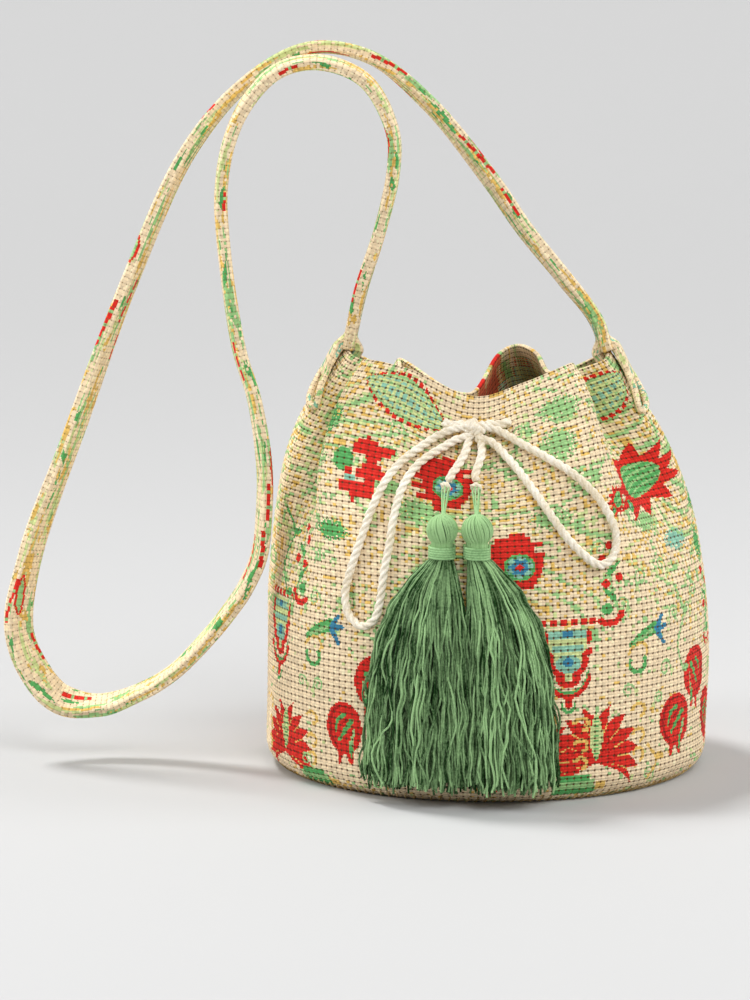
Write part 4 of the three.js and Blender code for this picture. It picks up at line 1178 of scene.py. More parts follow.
@dataclass
class ShoulderStrap:
    """The long strap of doubled weave, and its forked ends with a small loop below the outer leg."""

    width: float = 16.0
    thickness: float = 6.5
    reach: float = 124.0
    rise: float = 148.0
    fork_height: float = 16.0
    fork_open: float = 0.5
    fork_closed: float = 8.0
    band_foot: float = 0.8
    outer_leg: float = 16.0
    inner_leg: float = 14.0
    leg_thickness: float = 5.5
    tip_thickness: float = 3.4
    leg_width: float = 13.0
    inner_width: float = 9.0
    outer_clearance: float = 0.5
    inner_clearance: float = 1.2
    hairpin_length: float = 17.0
    hairpin_width: float = 12.0
    hairpin_cord: float = 3.4
    cell: float = 1.6
    groove: float = 1.1
    seed: int = 23

    def point(self, row: tuple[float, float, float, float]) -> Array:
        """Return the place of one row of the strap's route."""
        left, up, front, _ = row
        across = left * FORM.belly if left <= 1 else FORM.belly + (left - 1) * self.reach
        height = up * FORM.rim_height if up <= 1 else FORM.rim_height + (up - 1) * self.rise
        return np.array([-across, -front * FORM.belly, height])

    def seat(self, end: StrapEnd, toward: tuple[float, float, float, float]) -> dict[str, Array]:
        """Return the rim's point under an end, and the directions along the rim, up the strap and out."""
        around, _, out = FORM.frame_at(end.turn, 1.0)
        point = FORM.lifted(end.turn, 1.0, -FORM.wall / 2)
        lead = unit(self.point(toward) - point)
        square = unit(out - (out @ lead) * lead)
        return {"point": point, "around": around, "lead": lead, "out": square}

    def leg_place(
        self, end: StrapEnd, seat: dict[str, Array], height: float, lift: float, slant: float
    ) -> tuple[Array, Array, Array]:
        """Return a leg's middle at a height above the rim, and its directions along the rim and out."""
        if height >= 0:
            return seat["point"] + seat["lead"] * height + seat["out"] * lift, seat["around"], seat["out"]
        turn = end.turn - slant * height
        climb = 1 + height / FORM.height()
        around, _, out = FORM.frame_at(turn, climb)
        return FORM.lifted(turn, climb, lift - FORM.wall / 2), around, out

    def section(self, width: float, thickness: float, groove: float, cells: int) -> Array:
        """Return the outline of the doubled band: soft corners, and a groove along each thin edge."""
        w, t = width / 2, thickness / 2
        flat = np.linspace(-1, 1, cells + 1)
        crown = 0.06 * thickness * (1 - flat**2)
        top = np.stack([flat * 0.8 * w, t + crown - 0.06 * thickness], -1)
        low = [(w, -0.35 * t), (0.96 * w, -0.7 * t)]
        side = np.array([(0.96 * w, 0.7 * t), (w, 0.35 * t), (w - groove, 0.0), *low])
        return np.vstack([top, side, -top, -side])

    def ring(
        self, centre: Array, across: Array, thick: Array, width: float, thickness: float, groove: float,
        cells: int,
    ) -> Array:
        """Return one ring of the band."""
        outline = self.section(width, thickness, groove, cells)
        return centre + outline[:, :1] * across + outline[:, 1:] * thick

    def band_rings(self, seats: dict[Side, dict], ends: dict[Side, StrapEnd]) -> Array:
        """Return the rings of the long band, from the right end to the left end."""
        start = self.leg_place(ends[Side.RIGHT], seats[Side.RIGHT], self.band_foot, 0, 0)[0]
        finish = self.leg_place(ends[Side.LEFT], seats[Side.LEFT], self.band_foot, 0, 0)[0]
        points = [start, *(self.point(row) for row in STRAP_ROUTE), finish]
        twists = np.array([0, *(row[3] for row in STRAP_ROUTE), 0], float)
        line, rows = even_curve(np.array(points), self.cell)
        along = unit(np.gradient(line, axis=0))
        at = np.minimum(rows.astype(int), len(twists) - 2)
        twist = np.radians(twists[at] + (twists[at + 1] - twists[at]) * smooth(rows - at))
        back = np.array([0.0, 1.0, 0.0])
        edge_on = unit(back - along * (along @ back)[:, None])
        thick = np.cross(along, edge_on)
        across = edge_on * np.cos(twist)[:, None] + thick * np.sin(twist)[:, None]
        thick = np.cross(along, across)
        wobble = 1 + 0.012 * np.sin(np.arange(len(line)) * 0.21) + 0.01 * np.sin(np.arange(len(line)) * 0.083)
        cells = round(0.86 * self.width / self.cell)
        rings = [
            self.ring(c, a, t, self.width * w, self.thickness * (2 - w), self.groove, cells)
            for c, a, t, w in zip(line, across, thick, wobble)
        ]
        return np.array(rings)

    def leg_rings(
        self, end: StrapEnd, seat: dict[str, Array], sign: int, length: float, width: float, tip_width: float,
        clearance: float, slant: float,
    ) -> Array:
        """Return the rings of one leg, from inside the band down to its tip beside the rim."""
        steps = round((self.fork_height + length) / self.cell)
        cells = round(0.86 * width / self.cell)
        rings = []
        for k in range(steps + 1):
            height = self.fork_height - (self.fork_height + length) * k / steps
            taper = float(smooth(-height / length))
            thickness = self.leg_thickness + (self.tip_thickness - self.leg_thickness) * taper
            spread = FORM.wall / 2 + clearance + thickness / 2
            closed = (self.thickness - self.leg_thickness) / 2
            closing = float(smooth((height - self.fork_open) / (self.fork_closed - self.fork_open)))
            lift = spread + (closed - spread) * closing
            middle, around, out = self.leg_place(end, seat, height, sign * lift, slant)
            wide = width + (tip_width - width) * taper
            rings.append(self.ring(middle, around, out, wide, thickness, 0.2, cells))
        return np.array(rings)

    def hairpin_rings(self, end: StrapEnd, seat: dict) -> Array:
        """Return the rings of the small loop below the outer leg."""
        half = (self.hairpin_width - self.hairpin_cord) / 2
        top = self.outer_leg - 4.0
        low = self.outer_leg + self.hairpin_length - self.hairpin_cord / 2 - half
        turns = np.linspace(0, math.pi, 5)[1:-1]
        flat = [(top, -half), ((top + low) / 2, -half), (low, -half)]
        flat += [(low + half * math.sin(a), -half * math.cos(a)) for a in turns]
        flat += [(low, half), ((top + low) / 2, half), (top, half)]
        lift = FORM.wall / 2 + self.outer_clearance + self.hairpin_cord / 2
        points = []
        for down, aside in flat:
            middle, around, _ = self.leg_place(end, seat, -down, lift, end.slant)
            points.append(middle + around * aside)
        line, _ = even_curve(np.array(points), 1.2)
        return swept(line, round_section(self.hairpin_cord / 2, 10))

    def pattern(self, rows: int, columns: int, dashed: bool) -> WovenChart:
        """Return the band's chart: streaks along it and, where dashed, red dashes along its edges."""
        chart = WovenChart(2 * columns, 2 * rows, self.cell / 2, self.cell / 2, self.seed)
        for reach, share, dye in LONG_STREAKS if dashed else PALE_PATCHES:
            patch = blurred(chart.rng, chart.dyes.shape, reach)
            dots = np.repeat(np.repeat(chart.rng.random((rows, columns)), 2, axis=0), 2, axis=1)
            chart.dyes[(patch < share) & (dots < 0.85)] = chart.palette.index(dye)
        for _ in range(rows // 18 if dashed else 0):
            row, column = chart.rng.integers(0, 2 * rows), chart.rng.integers(0, 2 * columns)
            length, wide = chart.rng.integers(8, 34), chart.rng.integers(3, 6)
            drift = chart.rng.choice((-0.12, 0.0, 0.12))
            hollow = wide > 4
            length = length + 10 if hollow else length
            for step in range(min(length, 2 * rows - row)):
                first = column + round(drift * step)
                half = round(3.4 * math.sin(math.pi * step / length)) if hollow else wide // 2
                if hollow:
                    across = np.arange(first - half - 1, first + half + 2)
                else:
                    across = np.arange(first, first + wide)
                inner = abs(across - first) < half if hollow else np.full(wide, step % 9 > 6)
                chart.dyes[row + step, across[~inner] % (2 * columns)] = chart.palette.index(Dye.RED)
                chart.dyes[row + step, across[inner] % (2 * columns)] = chart.palette.index(Dye.LEAF)
        return chart

    def build(self) -> None:
        """Make the band, the legs and the loops, each as a piece of its own."""
        ends = {Side.RIGHT: StrapEnd(90, -0.4), Side.LEFT: StrapEnd(-90, 0.4)}
        seats = {
            Side.RIGHT: self.seat(ends[Side.RIGHT], STRAP_ROUTE[0]),
            Side.LEFT: self.seat(ends[Side.LEFT], STRAP_ROUTE[-1]),
        }
        # The same cotton woven finer and tighter: its holes are small and painted a paler shade, and its face
        # is flatter, with lighter painted shade in its dips
        tight = {"hole_radius": 0.32, "painted_hole_shade": "#a37f4d", "dip_shade": 0.88, "relief": 0.25}
        material = WovenCotton("strap_weave_cotton", self.cell, self.cell, **tight).build()
        parts = [self.band_rings(seats, ends)]
        for side, end in ends.items():
            seat = seats[side]
            outer = (1, self.outer_leg, self.leg_width, self.hairpin_width, self.outer_clearance, end.slant)
            inner = (-1, self.inner_leg, self.inner_width, self.inner_width, self.inner_clearance, 0)
            parts.append(self.leg_rings(end, seat, *outer))
            parts.append(self.leg_rings(end, seat, *inner))
            parts.append(self.hairpin_rings(end, seat))
        kinds = ("outer_leg", "inner_leg", "loop")
        names = ["band"] + [f"{kind}_{side.value}" for side in ends for kind in kinds]
        for name, rings in zip(names, parts):
            rows, columns = rings.shape[0] - 1, rings.shape[1]
            chart = self.pattern(rows, columns, name == "band")
            mesh = MeshMaker.grid(f"strap_{name}", rings, material, chart.colours())
            MeshMaker.piece(f"strap_{name}", mesh, "strap_weave", "strap")


def round_section(radius: float, sides: int) -> Array:
    """Return a round outline, one x, y row for each side."""
    a = 2 * math.pi * np.arange(sides) / sides
    return radius * np.stack([np.cos(a), np.sin(a)], -1)


def swept(line: Array, section: Array, lay: float = 0.0) -> Array:
    """Carry an outline along a line without turning it, or turning once in every lay.

    Args:
        line: samples along the line.
        section: the outline, x and y.
        lay: the length of one full turn, or 0 for none.

    Returns:
        The rings.
    """
    along = unit(np.gradient(line, axis=0))
    side = unit(np.cross(along[0], (0.3, 0.2, 1.0)))
    distance = distance_along(line)
    rings = []
    for k, (centre, forward) in enumerate(zip(line, along)):
        side = unit(side - (side @ forward) * forward)
        other = np.cross(forward, side)
        a = 2 * math.pi * distance[k] / lay if lay else 0.0
        first = side * math.cos(a) + other * math.sin(a)
        second = -side * math.sin(a) + other * math.cos(a)
        rings.append(centre + section[:, :1] * first + section[:, 1:] * second)
    return np.array(rings)


@dataclass
class Drawstring:
    """The three-strand rope: its stretch round the neck, the bow, the tails and their knots."""

    rope: float = 4.5
    lay: float = 13.0
    strand_offset: float = 0.46
    slimness: float = 0.95
    step: float = 1.0
    knot: tuple[float, float] = (-8.0, 175.0)
    knot_width: float = 14.0
    knot_depth: float = 10.0
    end_knot: float = 6.4
    clear: float = 0.4
    gap: float = 0.3

    def section(self, diameter: float, sides: int = 24) -> Array:
        """Return the outline of three strands lying together."""
        offset = self.strand_offset * diameter / 2
        strand = diameter / 2 - offset
        a = 2 * math.pi * np.arange(sides) / sides
        phase = (a + math.pi / 3) % (2 * math.pi / 3) - math.pi / 3
        radius = offset * np.cos(phase) + np.sqrt(strand**2 - (offset * np.sin(phase)) ** 2)
        return np.stack([radius * np.cos(a), radius * np.sin(a)], -1)

    def rope_mesh(self, name: str, line: Array, diameter: float | None = None) -> Mesh:
        """Return the mesh of a rope along a line."""
        diameter = diameter or self.rope
        rings = swept(line, self.section(self.slimness * diameter), self.lay * diameter / self.rope)
        shrink = np.ones(len(rings))
        shrink[[0, -1]] = 0.55
        rings = line[:, None] + (rings - line[:, None]) * shrink[:, None, None]
        return MeshMaker.grid(name, rings, self.material)

    def free_cord(self, name: str, route: Array) -> None:
        """Args:
            name: the CAD node that it stands for.
            route: its points, in millimetres, from where it leaves the knot.
        """
        line, _ = even_curve(route, self.step)
        rope = MeshMaker.piece(f"{name}_rope", self.rope_mesh(name, line), "rope", name)

    def knot_centre(self) -> Array:
        """Return the middle of the bow's knot."""
        return FORM.on_front([(*self.knot, self.knot_depth / 2 + self.clear)])[0]

    def build_knot(self) -> None:
        """Make the bow's knot: two crossing turns inside one upright turn."""
        centre = self.knot_centre()
        a = np.linspace(-0.2, 2.2 * math.pi, 26)
        reach = self.knot_depth / 2 - self.rope / 2
        upright = np.stack([-1.6 + 1.3 * a / math.pi, -reach * np.cos(a), reach * np.sin(a)], -1)
        turns = [
            upright,
            *(np.array(crossing) for crossing in KNOT_TURNS),
        ]
        for k, turn in enumerate(turns):
            line, _ = even_curve(centre + turn, 0.8)
            name = f"bow_knot_turn_{k + 1}"
            MeshMaker.piece(name, self.rope_mesh(name, line), "rope", "bow_knot")

    def end_knot_centre(self, tail: tuple) -> Array:
        """Return the middle of a tail's end knot, just past the tail's last point."""
        before, last = FORM.on_front(tail[-2:])
        return last + unit(last - before) * (self.end_knot / 2 + self.gap)

    def build_end_knot(self, side: Side, tail: tuple) -> list[bpy.types.Object]:
        """Make a tail's end knot of one tight turn and its short frayed end."""
        centre = self.end_knot_centre(tail)
        before, last = FORM.on_front(tail[-2:])
        down = unit(last - before)
        aside = unit(np.cross(down, (0.0, 1.0, 0.0)))
        front = np.cross(aside, down)
        a = np.linspace(0, 2.6 * math.pi, 24)
        turn = centre + (
            1.75 * np.cos(a)[:, None] * aside
            + 1.75 * np.sin(a)[:, None] * front
            + (a / a[-1] - 0.5)[:, None] * 2.4 * down
        )
        line, _ = even_curve(turn, 0.6)
        core, _ = even_curve(centre + np.array([-2.6, -1.0, 1.0, 2.9])[:, None] * down, 0.6)
        node = f"cord_end_knot_{side.value}"
        made = []
        for k, (part, size) in enumerate(((line, 2.7), (core, 3.2))):
            name = f"{node}_part_{k + 1}"
            made.append(MeshMaker.piece(name, self.rope_mesh(name, part, size), "rope", node))
        return made

    def neck_line(self) -> Array:
        """Return the held stretch: from the knot in through one hole, round the neck and out of the other."""
        reach = 0.35 * self.knot_width

        def meet(side: float) -> Array:
            """Return where the rope enters the knot on one side."""
            return FORM.on_front([(self.knot[0] + side * reach, self.knot[1] + 1.4, 3.4)])[0]

        def thread(x: float, z: float, side: float) -> list[Array]:
            """Return the rope's way from inside the wall, out through a hole and on to the knot."""
            turn, climb = FORM.front_place(x, z, 0.0)
            inside = [FORM.lifted(turn, climb, lift) for lift in THREADING]
            return [*inside, FORM.on_front([(x - side * 3.2, z + 0.4, 3.2)])[0], meet(side)]

        left = thread(-22, 175.5, -1)[::-1]
        right = thread(8, 176, 1)
        return np.array([*left, *np.array(NECK_ROUTE, float), *right])

    @cached_property
    def material(self) -> Material:
        """Unbleached cotton, laid up in three strands: matt off-white, and warmer between its fibres."""
        return TwistedCotton("cotton_rope", "#fff8ea", "#e3d4b6", relief=0.35).build()

    def build(self) -> None:
        """Make the whole drawstring."""
        self.build_knot()
        far = {Side.LEFT: BOW_LEFT, Side.RIGHT: BOW_RIGHT}
        for side, route in far.items():
            inward = 1 if side is Side.LEFT else -1
            (x0, z0, lift0), (x1, z1, lift1) = route[0], route[-1]
            knotted = [
                (x0 + 7.5 * inward, z0 + 0.2, lift0 + 0.8),
                *route,
                (x1 + 7.5 * inward, z1 + 1.6, lift1 + 0.4),
            ]
            self.free_cord(f"bow_loop_{side.value}", FORM.on_front(knotted))
        for side, tail in ((Side.LEFT, TAIL_LEFT), (Side.RIGHT, TAIL_RIGHT)):
            knots = self.build_end_knot(side, tail)
            points = FORM.on_front(tail)
            inward = unit(self.knot_centre() - points[0])
            # The rope starts inside the knot, so that its whole length is over six diameters
            points = np.vstack([points[0] + 7.0 * inward, points[0] + 3.5 * inward, points])
            self.free_cord(f"cord_tail_{side.value}", points)
        line, _ = even_curve(self.neck_line(), self.step)
        MeshMaker.piece("neck_rope", self.rope_mesh("neck_rope", line), "rope", "neck_cord")


def strand_tree(name: str) -> Tree:
    """Build the node tree that turns edge lines into round yarn.

    Args:
        name: the tree's name.

    Returns:
        A tree with the yarn's radius, how far it wavers, its sides and its finish as named inputs.
    """
    tree = bpy.data.node_groups.new(name, "GeometryNodeTree")
    tree.interface.new_socket("Geometry", in_out="INPUT", socket_type="NodeSocketGeometry")
    sizes = (("Radius", "NodeSocketFloat"), ("Waver", "NodeSocketFloat"), ("Sides", "NodeSocketInt"))
    for label, kind in sizes:
        tree.interface.new_socket(label, in_out="INPUT", socket_type=kind)
    tree.interface.new_socket("Finish", in_out="INPUT", socket_type="NodeSocketMaterial")
    tree.interface.new_socket("Geometry", in_out="OUTPUT", socket_type="NodeSocketGeometry")
    given = add_node(tree, "NodeGroupInput").outputs
    where = add_node(tree, "GeometryNodeInputPosition").outputs[0]
    noise = add_node(
        tree, "ShaderNodeTexNoise", {"Vector": where, "Scale": 130.0, "Detail": 1.0}, noise_dimensions="3D"
    )
    centred = add_node(
        tree, "ShaderNodeVectorMath", {0: noise.outputs["Color"], 1: (0.5, 0.5, 0.5)}, operation="SUBTRACT"
    )
    shift = add_node(
        tree, "ShaderNodeVectorMath", {0: centred.outputs[0], "Scale": given["Waver"]}, operation="SCALE"
    )
    curves = add_node(tree, "GeometryNodeMeshToCurve", {0: given["Geometry"]})
    moved = add_node(
        tree, "GeometryNodeSetPosition", {"Geometry": curves.outputs[0], "Offset": shift.outputs[0]}
    )
    ring = add_node(
        tree,
        "GeometryNodeCurvePrimitiveCircle",
        {"Resolution": given["Sides"], "Radius": given["Radius"]},
        mode="RADIUS",
    )
    tube = add_node(
        tree,
        "GeometryNodeCurveToMesh",
        {"Curve": moved.outputs[0], "Profile Curve": ring.outputs[0], "Fill Caps": True},
    )
    rounded = add_node(tree, "GeometryNodeSetShadeSmooth", {0: tube.outputs[0]})
    real = add_node(tree, "GeometryNodeRealizeInstances", {0: rounded.outputs[0]})
    dressed = add_node(
        tree, "GeometryNodeSetMaterial", {"Geometry": real.outputs[0], "Material": given["Finish"]}
    )
    add_node(tree, "NodeGroupOutput", {0: dressed.outputs[0]})
    return tree


def strands_mesh(
    name: str, lines: list[Array], shades: Array, radius: float, waver: float, sides: int, material: Material
) -> Mesh:
    """Turn many lines into round yarn through the strand tree.

    Args:
        name: the mesh's name.
        lines: the samples of each strand, in millimetres.
        shades: how light each strand is, from 0 to 1.
        radius: the yarn's radius.
        waver: how far a strand strays from its line.
        sides: how many flat faces go round a strand.
        material: the yarn's finish.

    Returns:
        A plain mesh, in metres.
    """
    guide = bpy.data.meshes.new(f"{name}_guide")
    points = np.vstack(lines) * MM
    edges, start = [], 0
    for line in lines:
        edges += [(start + k, start + k + 1) for k in range(len(line) - 1)]
        start += len(line)
    guide.from_pydata(points.tolist(), edges, [])
    shade = guide.attributes.new("shade", "FLOAT", "POINT")
    shade.data.foreach_set("value", np.repeat(shades, [len(line) for line in lines]).astype(np.float32))
    holder = bpy.data.objects.new(f"{name}_guide", guide)
    bpy.context.scene.collection.objects.link(holder)
    tree = bpy.data.node_groups.get("yarn_strands") or strand_tree("yarn_strands")
    modifier = holder.modifiers.new("yarn", "NODES")
    modifier.node_group = tree
    values = {"Radius": radius * MM, "Waver": waver * MM, "Sides": sides, "Finish": material}
    for item in tree.interface.items_tree:
        if item.in_out == "INPUT" and item.name in values:
            modifier[item.identifier] = values[item.name]
    bpy.context.view_layer.update()
    ready = holder.evaluated_get(bpy.context.evaluated_depsgraph_get())
    mesh = bpy.data.meshes.new_from_object(ready)
    bpy.data.objects.remove(holder)
    mesh.name = name
    return mesh


@dataclass
class Tassel:
    """A yarn tassel: a wound ball, a bound neck and a long loose skirt, hung from a tail of the rope."""

    side: Side
    head: float
    foot: float
    spread: float
    tail: tuple
    head_height: float = 131.5
    head_diameter: float = 15.0
    neck: float = 10.0
    binding_height: float = 7.0
    binding_thickness: float = 1.3
    skirt: float = 110.0
    flare: float = 4.6
    strands: int = 560
    yarn: float = 1.05
    seed: int = 5

    def head_centre(self) -> Array:
        """Return the middle of the ball, clear of the fabric at the ball and at the binding."""
        below = self.head_height - self.head_diameter / 2 - self.binding_height
        ball = float(FORM.front_depth(self.head, self.head_height)) - self.head_diameter / 2
        waist = float(FORM.front_depth(self.head, below)) - self.neck / 2 - 0.3 - self.binding_thickness
        return np.array([self.head, min(ball, waist) - 0.8, self.head_height])

    def build_head(self, finish: Material) -> None:
        """Wind the ball with yarn from pole to pole, a little aslant."""
        centre, radius = self.head_centre(), self.head_diameter / 2 - 0.45
        rng = np.random.default_rng(self.seed)
        lines = []
        count = 84
        waist = math.pi - math.asin(0.94 * self.neck / 2 / radius)
        for k in range(count):
            a = 2 * math.pi * k / count
            tilt = np.linspace(0.05, waist, 15)
            turn = a + 0.8 * (tilt / math.pi) + 0.05 * rng.standard_normal()
            r = radius + 0.16 * rng.standard_normal()
            ball = r * np.stack([np.sin(tilt) * np.cos(turn), np.sin(tilt) * np.sin(turn), np.cos(tilt)], -1)
            below = ball[-1] - np.array([(0, 0, 1.5), (0, 0, self.binding_height)])
            lines.append(centre + np.vstack([ball, below]))
        shades = rng.uniform(0.7, 1.2, count)
        mesh = strands_mesh(f"tassel_head_{self.side.value}", lines, shades, 0.42, 0.25, 5, finish)
        MeshMaker.piece(f"tassel_head_{self.side.value}", mesh, "tassel_yarn", f"tassel_{self.side.value}")
        tilt = np.linspace(0.02, math.pi - 0.02, 16)
        around = np.linspace(0, 2 * math.pi, 24, endpoint=False)
        t, b = np.meshgrid(tilt, around, indexing="ij")
        ball = np.stack([np.sin(t) * np.cos(b), np.sin(t) * np.sin(b), np.cos(t)], -1)
        rings = centre + (radius - 0.3) * ball
        core = MeshMaker.grid(f"tassel_heart_{self.side.value}", rings, finish)
        # The heart is painted dark, as painted shade between the windings
        shade = core.attributes.new("shade", "FLOAT", "POINT")
        shade.data.foreach_set("value", [0.15] * len(core.vertices))
        MeshMaker.piece(f"tassel_heart_{self.side.value}", core, "tassel_yarn", f"tassel_{self.side.value}")

    def build_binding(self, finish: Material) -> None:
        """Wind thread round the neck in level turns."""
        centre = self.head_centre()
        top = -self.head_diameter / 2 + 0.7
        turns = 5
        thread = (self.binding_height - 0.4) / turns / 2
        radius = self.neck / 2 + 0.3 + self.binding_thickness - thread
        a = np.linspace(0, 2 * math.pi * turns, 24 * turns)
        drop = top - thread - (self.binding_height - 2 * thread) * a / a[-1]
        line = centre + np.stack([radius * np.cos(a), radius * np.sin(a), drop], -1)
        name = f"tassel_binding_{self.side.value}"
        mesh = strands_mesh(f"{name}_thread", [line], np.array([0.62]), thread, 0.0, 8, finish)
        MeshMaker.piece(f"{name}_thread", mesh, "tassel_thread", name)

    def build_hanger(self, drawstring: Drawstring, finish: Material) -> None:
        """Hang the ball from the tail's knot by a few fine threads that spread at the knot."""
        knot = drawstring.end_knot_centre(self.tail)
        head = self.head_centre()
        along = unit(head - knot)
        top = knot + along * 1.6
        bottom = head - along * (self.head_diameter / 2 - 0.8)
        aside = unit(np.cross(along, (0.0, 1.0, 0.0)))
        front = np.cross(aside, along)
        lines = []
        for k in range(7):
            a = 2 * math.pi * k / 7
            offset = math.cos(a) * aside + math.sin(a) * front
            t = np.linspace(0, 1, 8)[:, None]
            lines.append(top + (bottom - top) * t + offset * (1.5 * (1 - t) ** 1.5 + 0.55))
        name = f"tassel_loop_{self.side.value}"
        mesh = strands_mesh(f"{name}_threads", lines, np.linspace(0.5, 0.9, 7), 0.36, 0.0, 6, finish)
        MeshMaker.piece(f"{name}_threads", mesh, "tassel_thread", name)

    def skirt_lines(self) -> tuple[list[Array], Array]:
        """Return the line of each strand of the skirt, and how light each is, with painted shade on the inner
        strands and in the gaps between locks.
        """
        rng = np.random.default_rng(self.seed + 11)
        top = self.head_height - self.head_diameter / 2 - self.binding_height + 1.5
        centre = self.head_centre()
        count = self.strands
        side = rng.uniform(-1, 1, count)
        layer = rng.uniform(0, 1, count) ** 0.7
        cut = self.skirt * (0.975 + 0.02 * rng.standard_normal(count) - 0.05 * rng.random(count) ** 3)
        s = np.concatenate([[0, 0.02, 0.05, 0.1], np.linspace(0.15, 1, 27)])
        phase, wave, drift = rng.uniform(0, 6.28, count), rng.gamma(2.0, 0.65, count), rng.normal(0, 1, count)
        beat, crinkle = rng.uniform(5, 17, count), rng.uniform(22, 40, count)
        lock = np.round(side * 7 + 0.8 * rng.standard_normal(count)) / 7
        share = (1 - np.exp(-self.flare * s)) / (1 - math.exp(-self.flare))
        half = self.neck / 2 + (self.spread - self.neck / 2) * share
        pull = 0.65 * smooth(2 * s) * (lock - side)[:, None]
        across = np.clip(side[:, None] + pull, -1.04, 1.04)
        x = self.head + (self.foot - self.head) * share + across * (half - self.yarn / 2)
        waving = wave[:, None] * np.sin(phase[:, None] + beat[:, None] * s)
        x = x + smooth(1.6 * s) * (waving + 1.6 * drift[:, None] * s)
        x = x + 0.4 * smooth(2 * s) * np.sin(3 * phase[:, None] + crinkle[:, None] * s)
        z = top - cut[:, None] * s
        gap = 2 * np.abs(7 * across - np.round(7 * across))
        wall = self.depth_behind(x, z) - 0.5 - self.yarn / 2
        round_front = np.sqrt(np.clip(1 - (side * 0.97) ** 2, 0, 1))
        laid = wall - ((3.0 + 12.5 * round_front) * layer)[:, None] * (1 - 0.6 * gap**2 * smooth(2 * s))
        neck = centre[1] - (self.neck / 2 - 0.6) * np.sqrt(1 - side**2) * (2 * layer - 1)
        y = np.minimum(wall, neck[:, None] + (laid - neck[:, None]) * smooth(3 * s))
        bulging = wave[:, None] * np.cos(phase[:, None] + 0.8 * beat[:, None] * s)
        y = y - smooth(1.6 * s) * 1.1 * np.abs(bulging)
        # How light each strand is: random tone, times painted shade that darkens the strands further in and
        # those in the gaps between locks
        light = (0.05 + 0.75 * rng.random(count)) * (0.35 + 0.65 * layer) * (1 - 0.55 * gap[:, 10] ** 2)
        light = light + 0.3 * (rng.random(count) > 0.93)
        return list(np.stack([x, y, z], -1)), light

    def depth_behind(self, x: Array, z: Array) -> Array:
        """Return how far to the front the fabric stands behind many points, from a coarse grid of it."""
        wide = np.linspace(x.min(), x.max(), 15)
        high = np.linspace(z.min(), z.max(), 23)
        depth = FORM.front_depth(wide[None, :], high[:, None])
        column = np.clip((x - wide[0]) / (wide[1] - wide[0]), 0, len(wide) - 1.001)
        row = np.clip((z - high[0]) / (high[1] - high[0]), 0, len(high) - 1.001)
        c, r = column.astype(int), row.astype(int)
        s, t = column - c, row - r
        low = depth[r, c] * (1 - s) + depth[r, c + 1] * s
        above = depth[r + 1, c] * (1 - s) + depth[r + 1, c + 1] * s
        return low * (1 - t) + above * t

    def build_skirt(self, finish: Material) -> None:
        """Hang the skirt's loose strands."""
        lines, shades = self.skirt_lines()
        mesh = strands_mesh(f"tassel_skirt_{self.side.value}", lines, shades, self.yarn / 2, 2.4, 5, finish)
        MeshMaker.piece(f"tassel_skirt_{self.side.value}", mesh, "tassel_yarn", f"tassel_{self.side.value}")

    def build(self, drawstring: Drawstring, yarn: Material, thread: Material) -> None:
        """Make the whole tassel."""
        self.build_head(yarn)
        self.build_binding(thread)
        self.build_hanger(drawstring, thread)
        self.build_skirt(yarn)


@dataclass
class Base:
    """The flat round base: its plain weave, and the whip stitches that join it to the wall."""

    stitches: int = 150

    def build(self) -> None:
        """Dress the base's solid and sew its seam."""
        # Undyed cotton in the wall's weave, a little closer, with the same painted shade in its holes and
        # dips and painted highlight on its stitch tops
        weave = WovenCotton("plain_basket_weave", 1.54, 1.47, patterned=False)
        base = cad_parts["base_panel"]
        base.data.materials.clear()
        base.data.materials.append(weave.build())
        # Waxed cotton sewing thread: gold brown, with darker brown flecks and patches
        thread = TwistedCotton("seam_thread", "#d9bf8a", "#8d6f3f").build()
        lines = []
        for k in range(self.stitches):
            a = 2 * math.pi * k / self.stitches
            t = np.linspace(0, 1, 6)
            turn = np.degrees(a) + 1.1 * t
            climb = 0.012 + 0.028 * t
            lift = 0.05 + 0.35 * np.sin(math.pi * t)
            lines.append(FORM.lifted(turn, climb, lift))
        mesh = strands_mesh("base_seam_stitches", lines, np.full(len(lines), 0.6), 0.4, 0.0, 6, thread)
        MeshMaker.piece("base_seam_stitches", mesh, "base_weave")


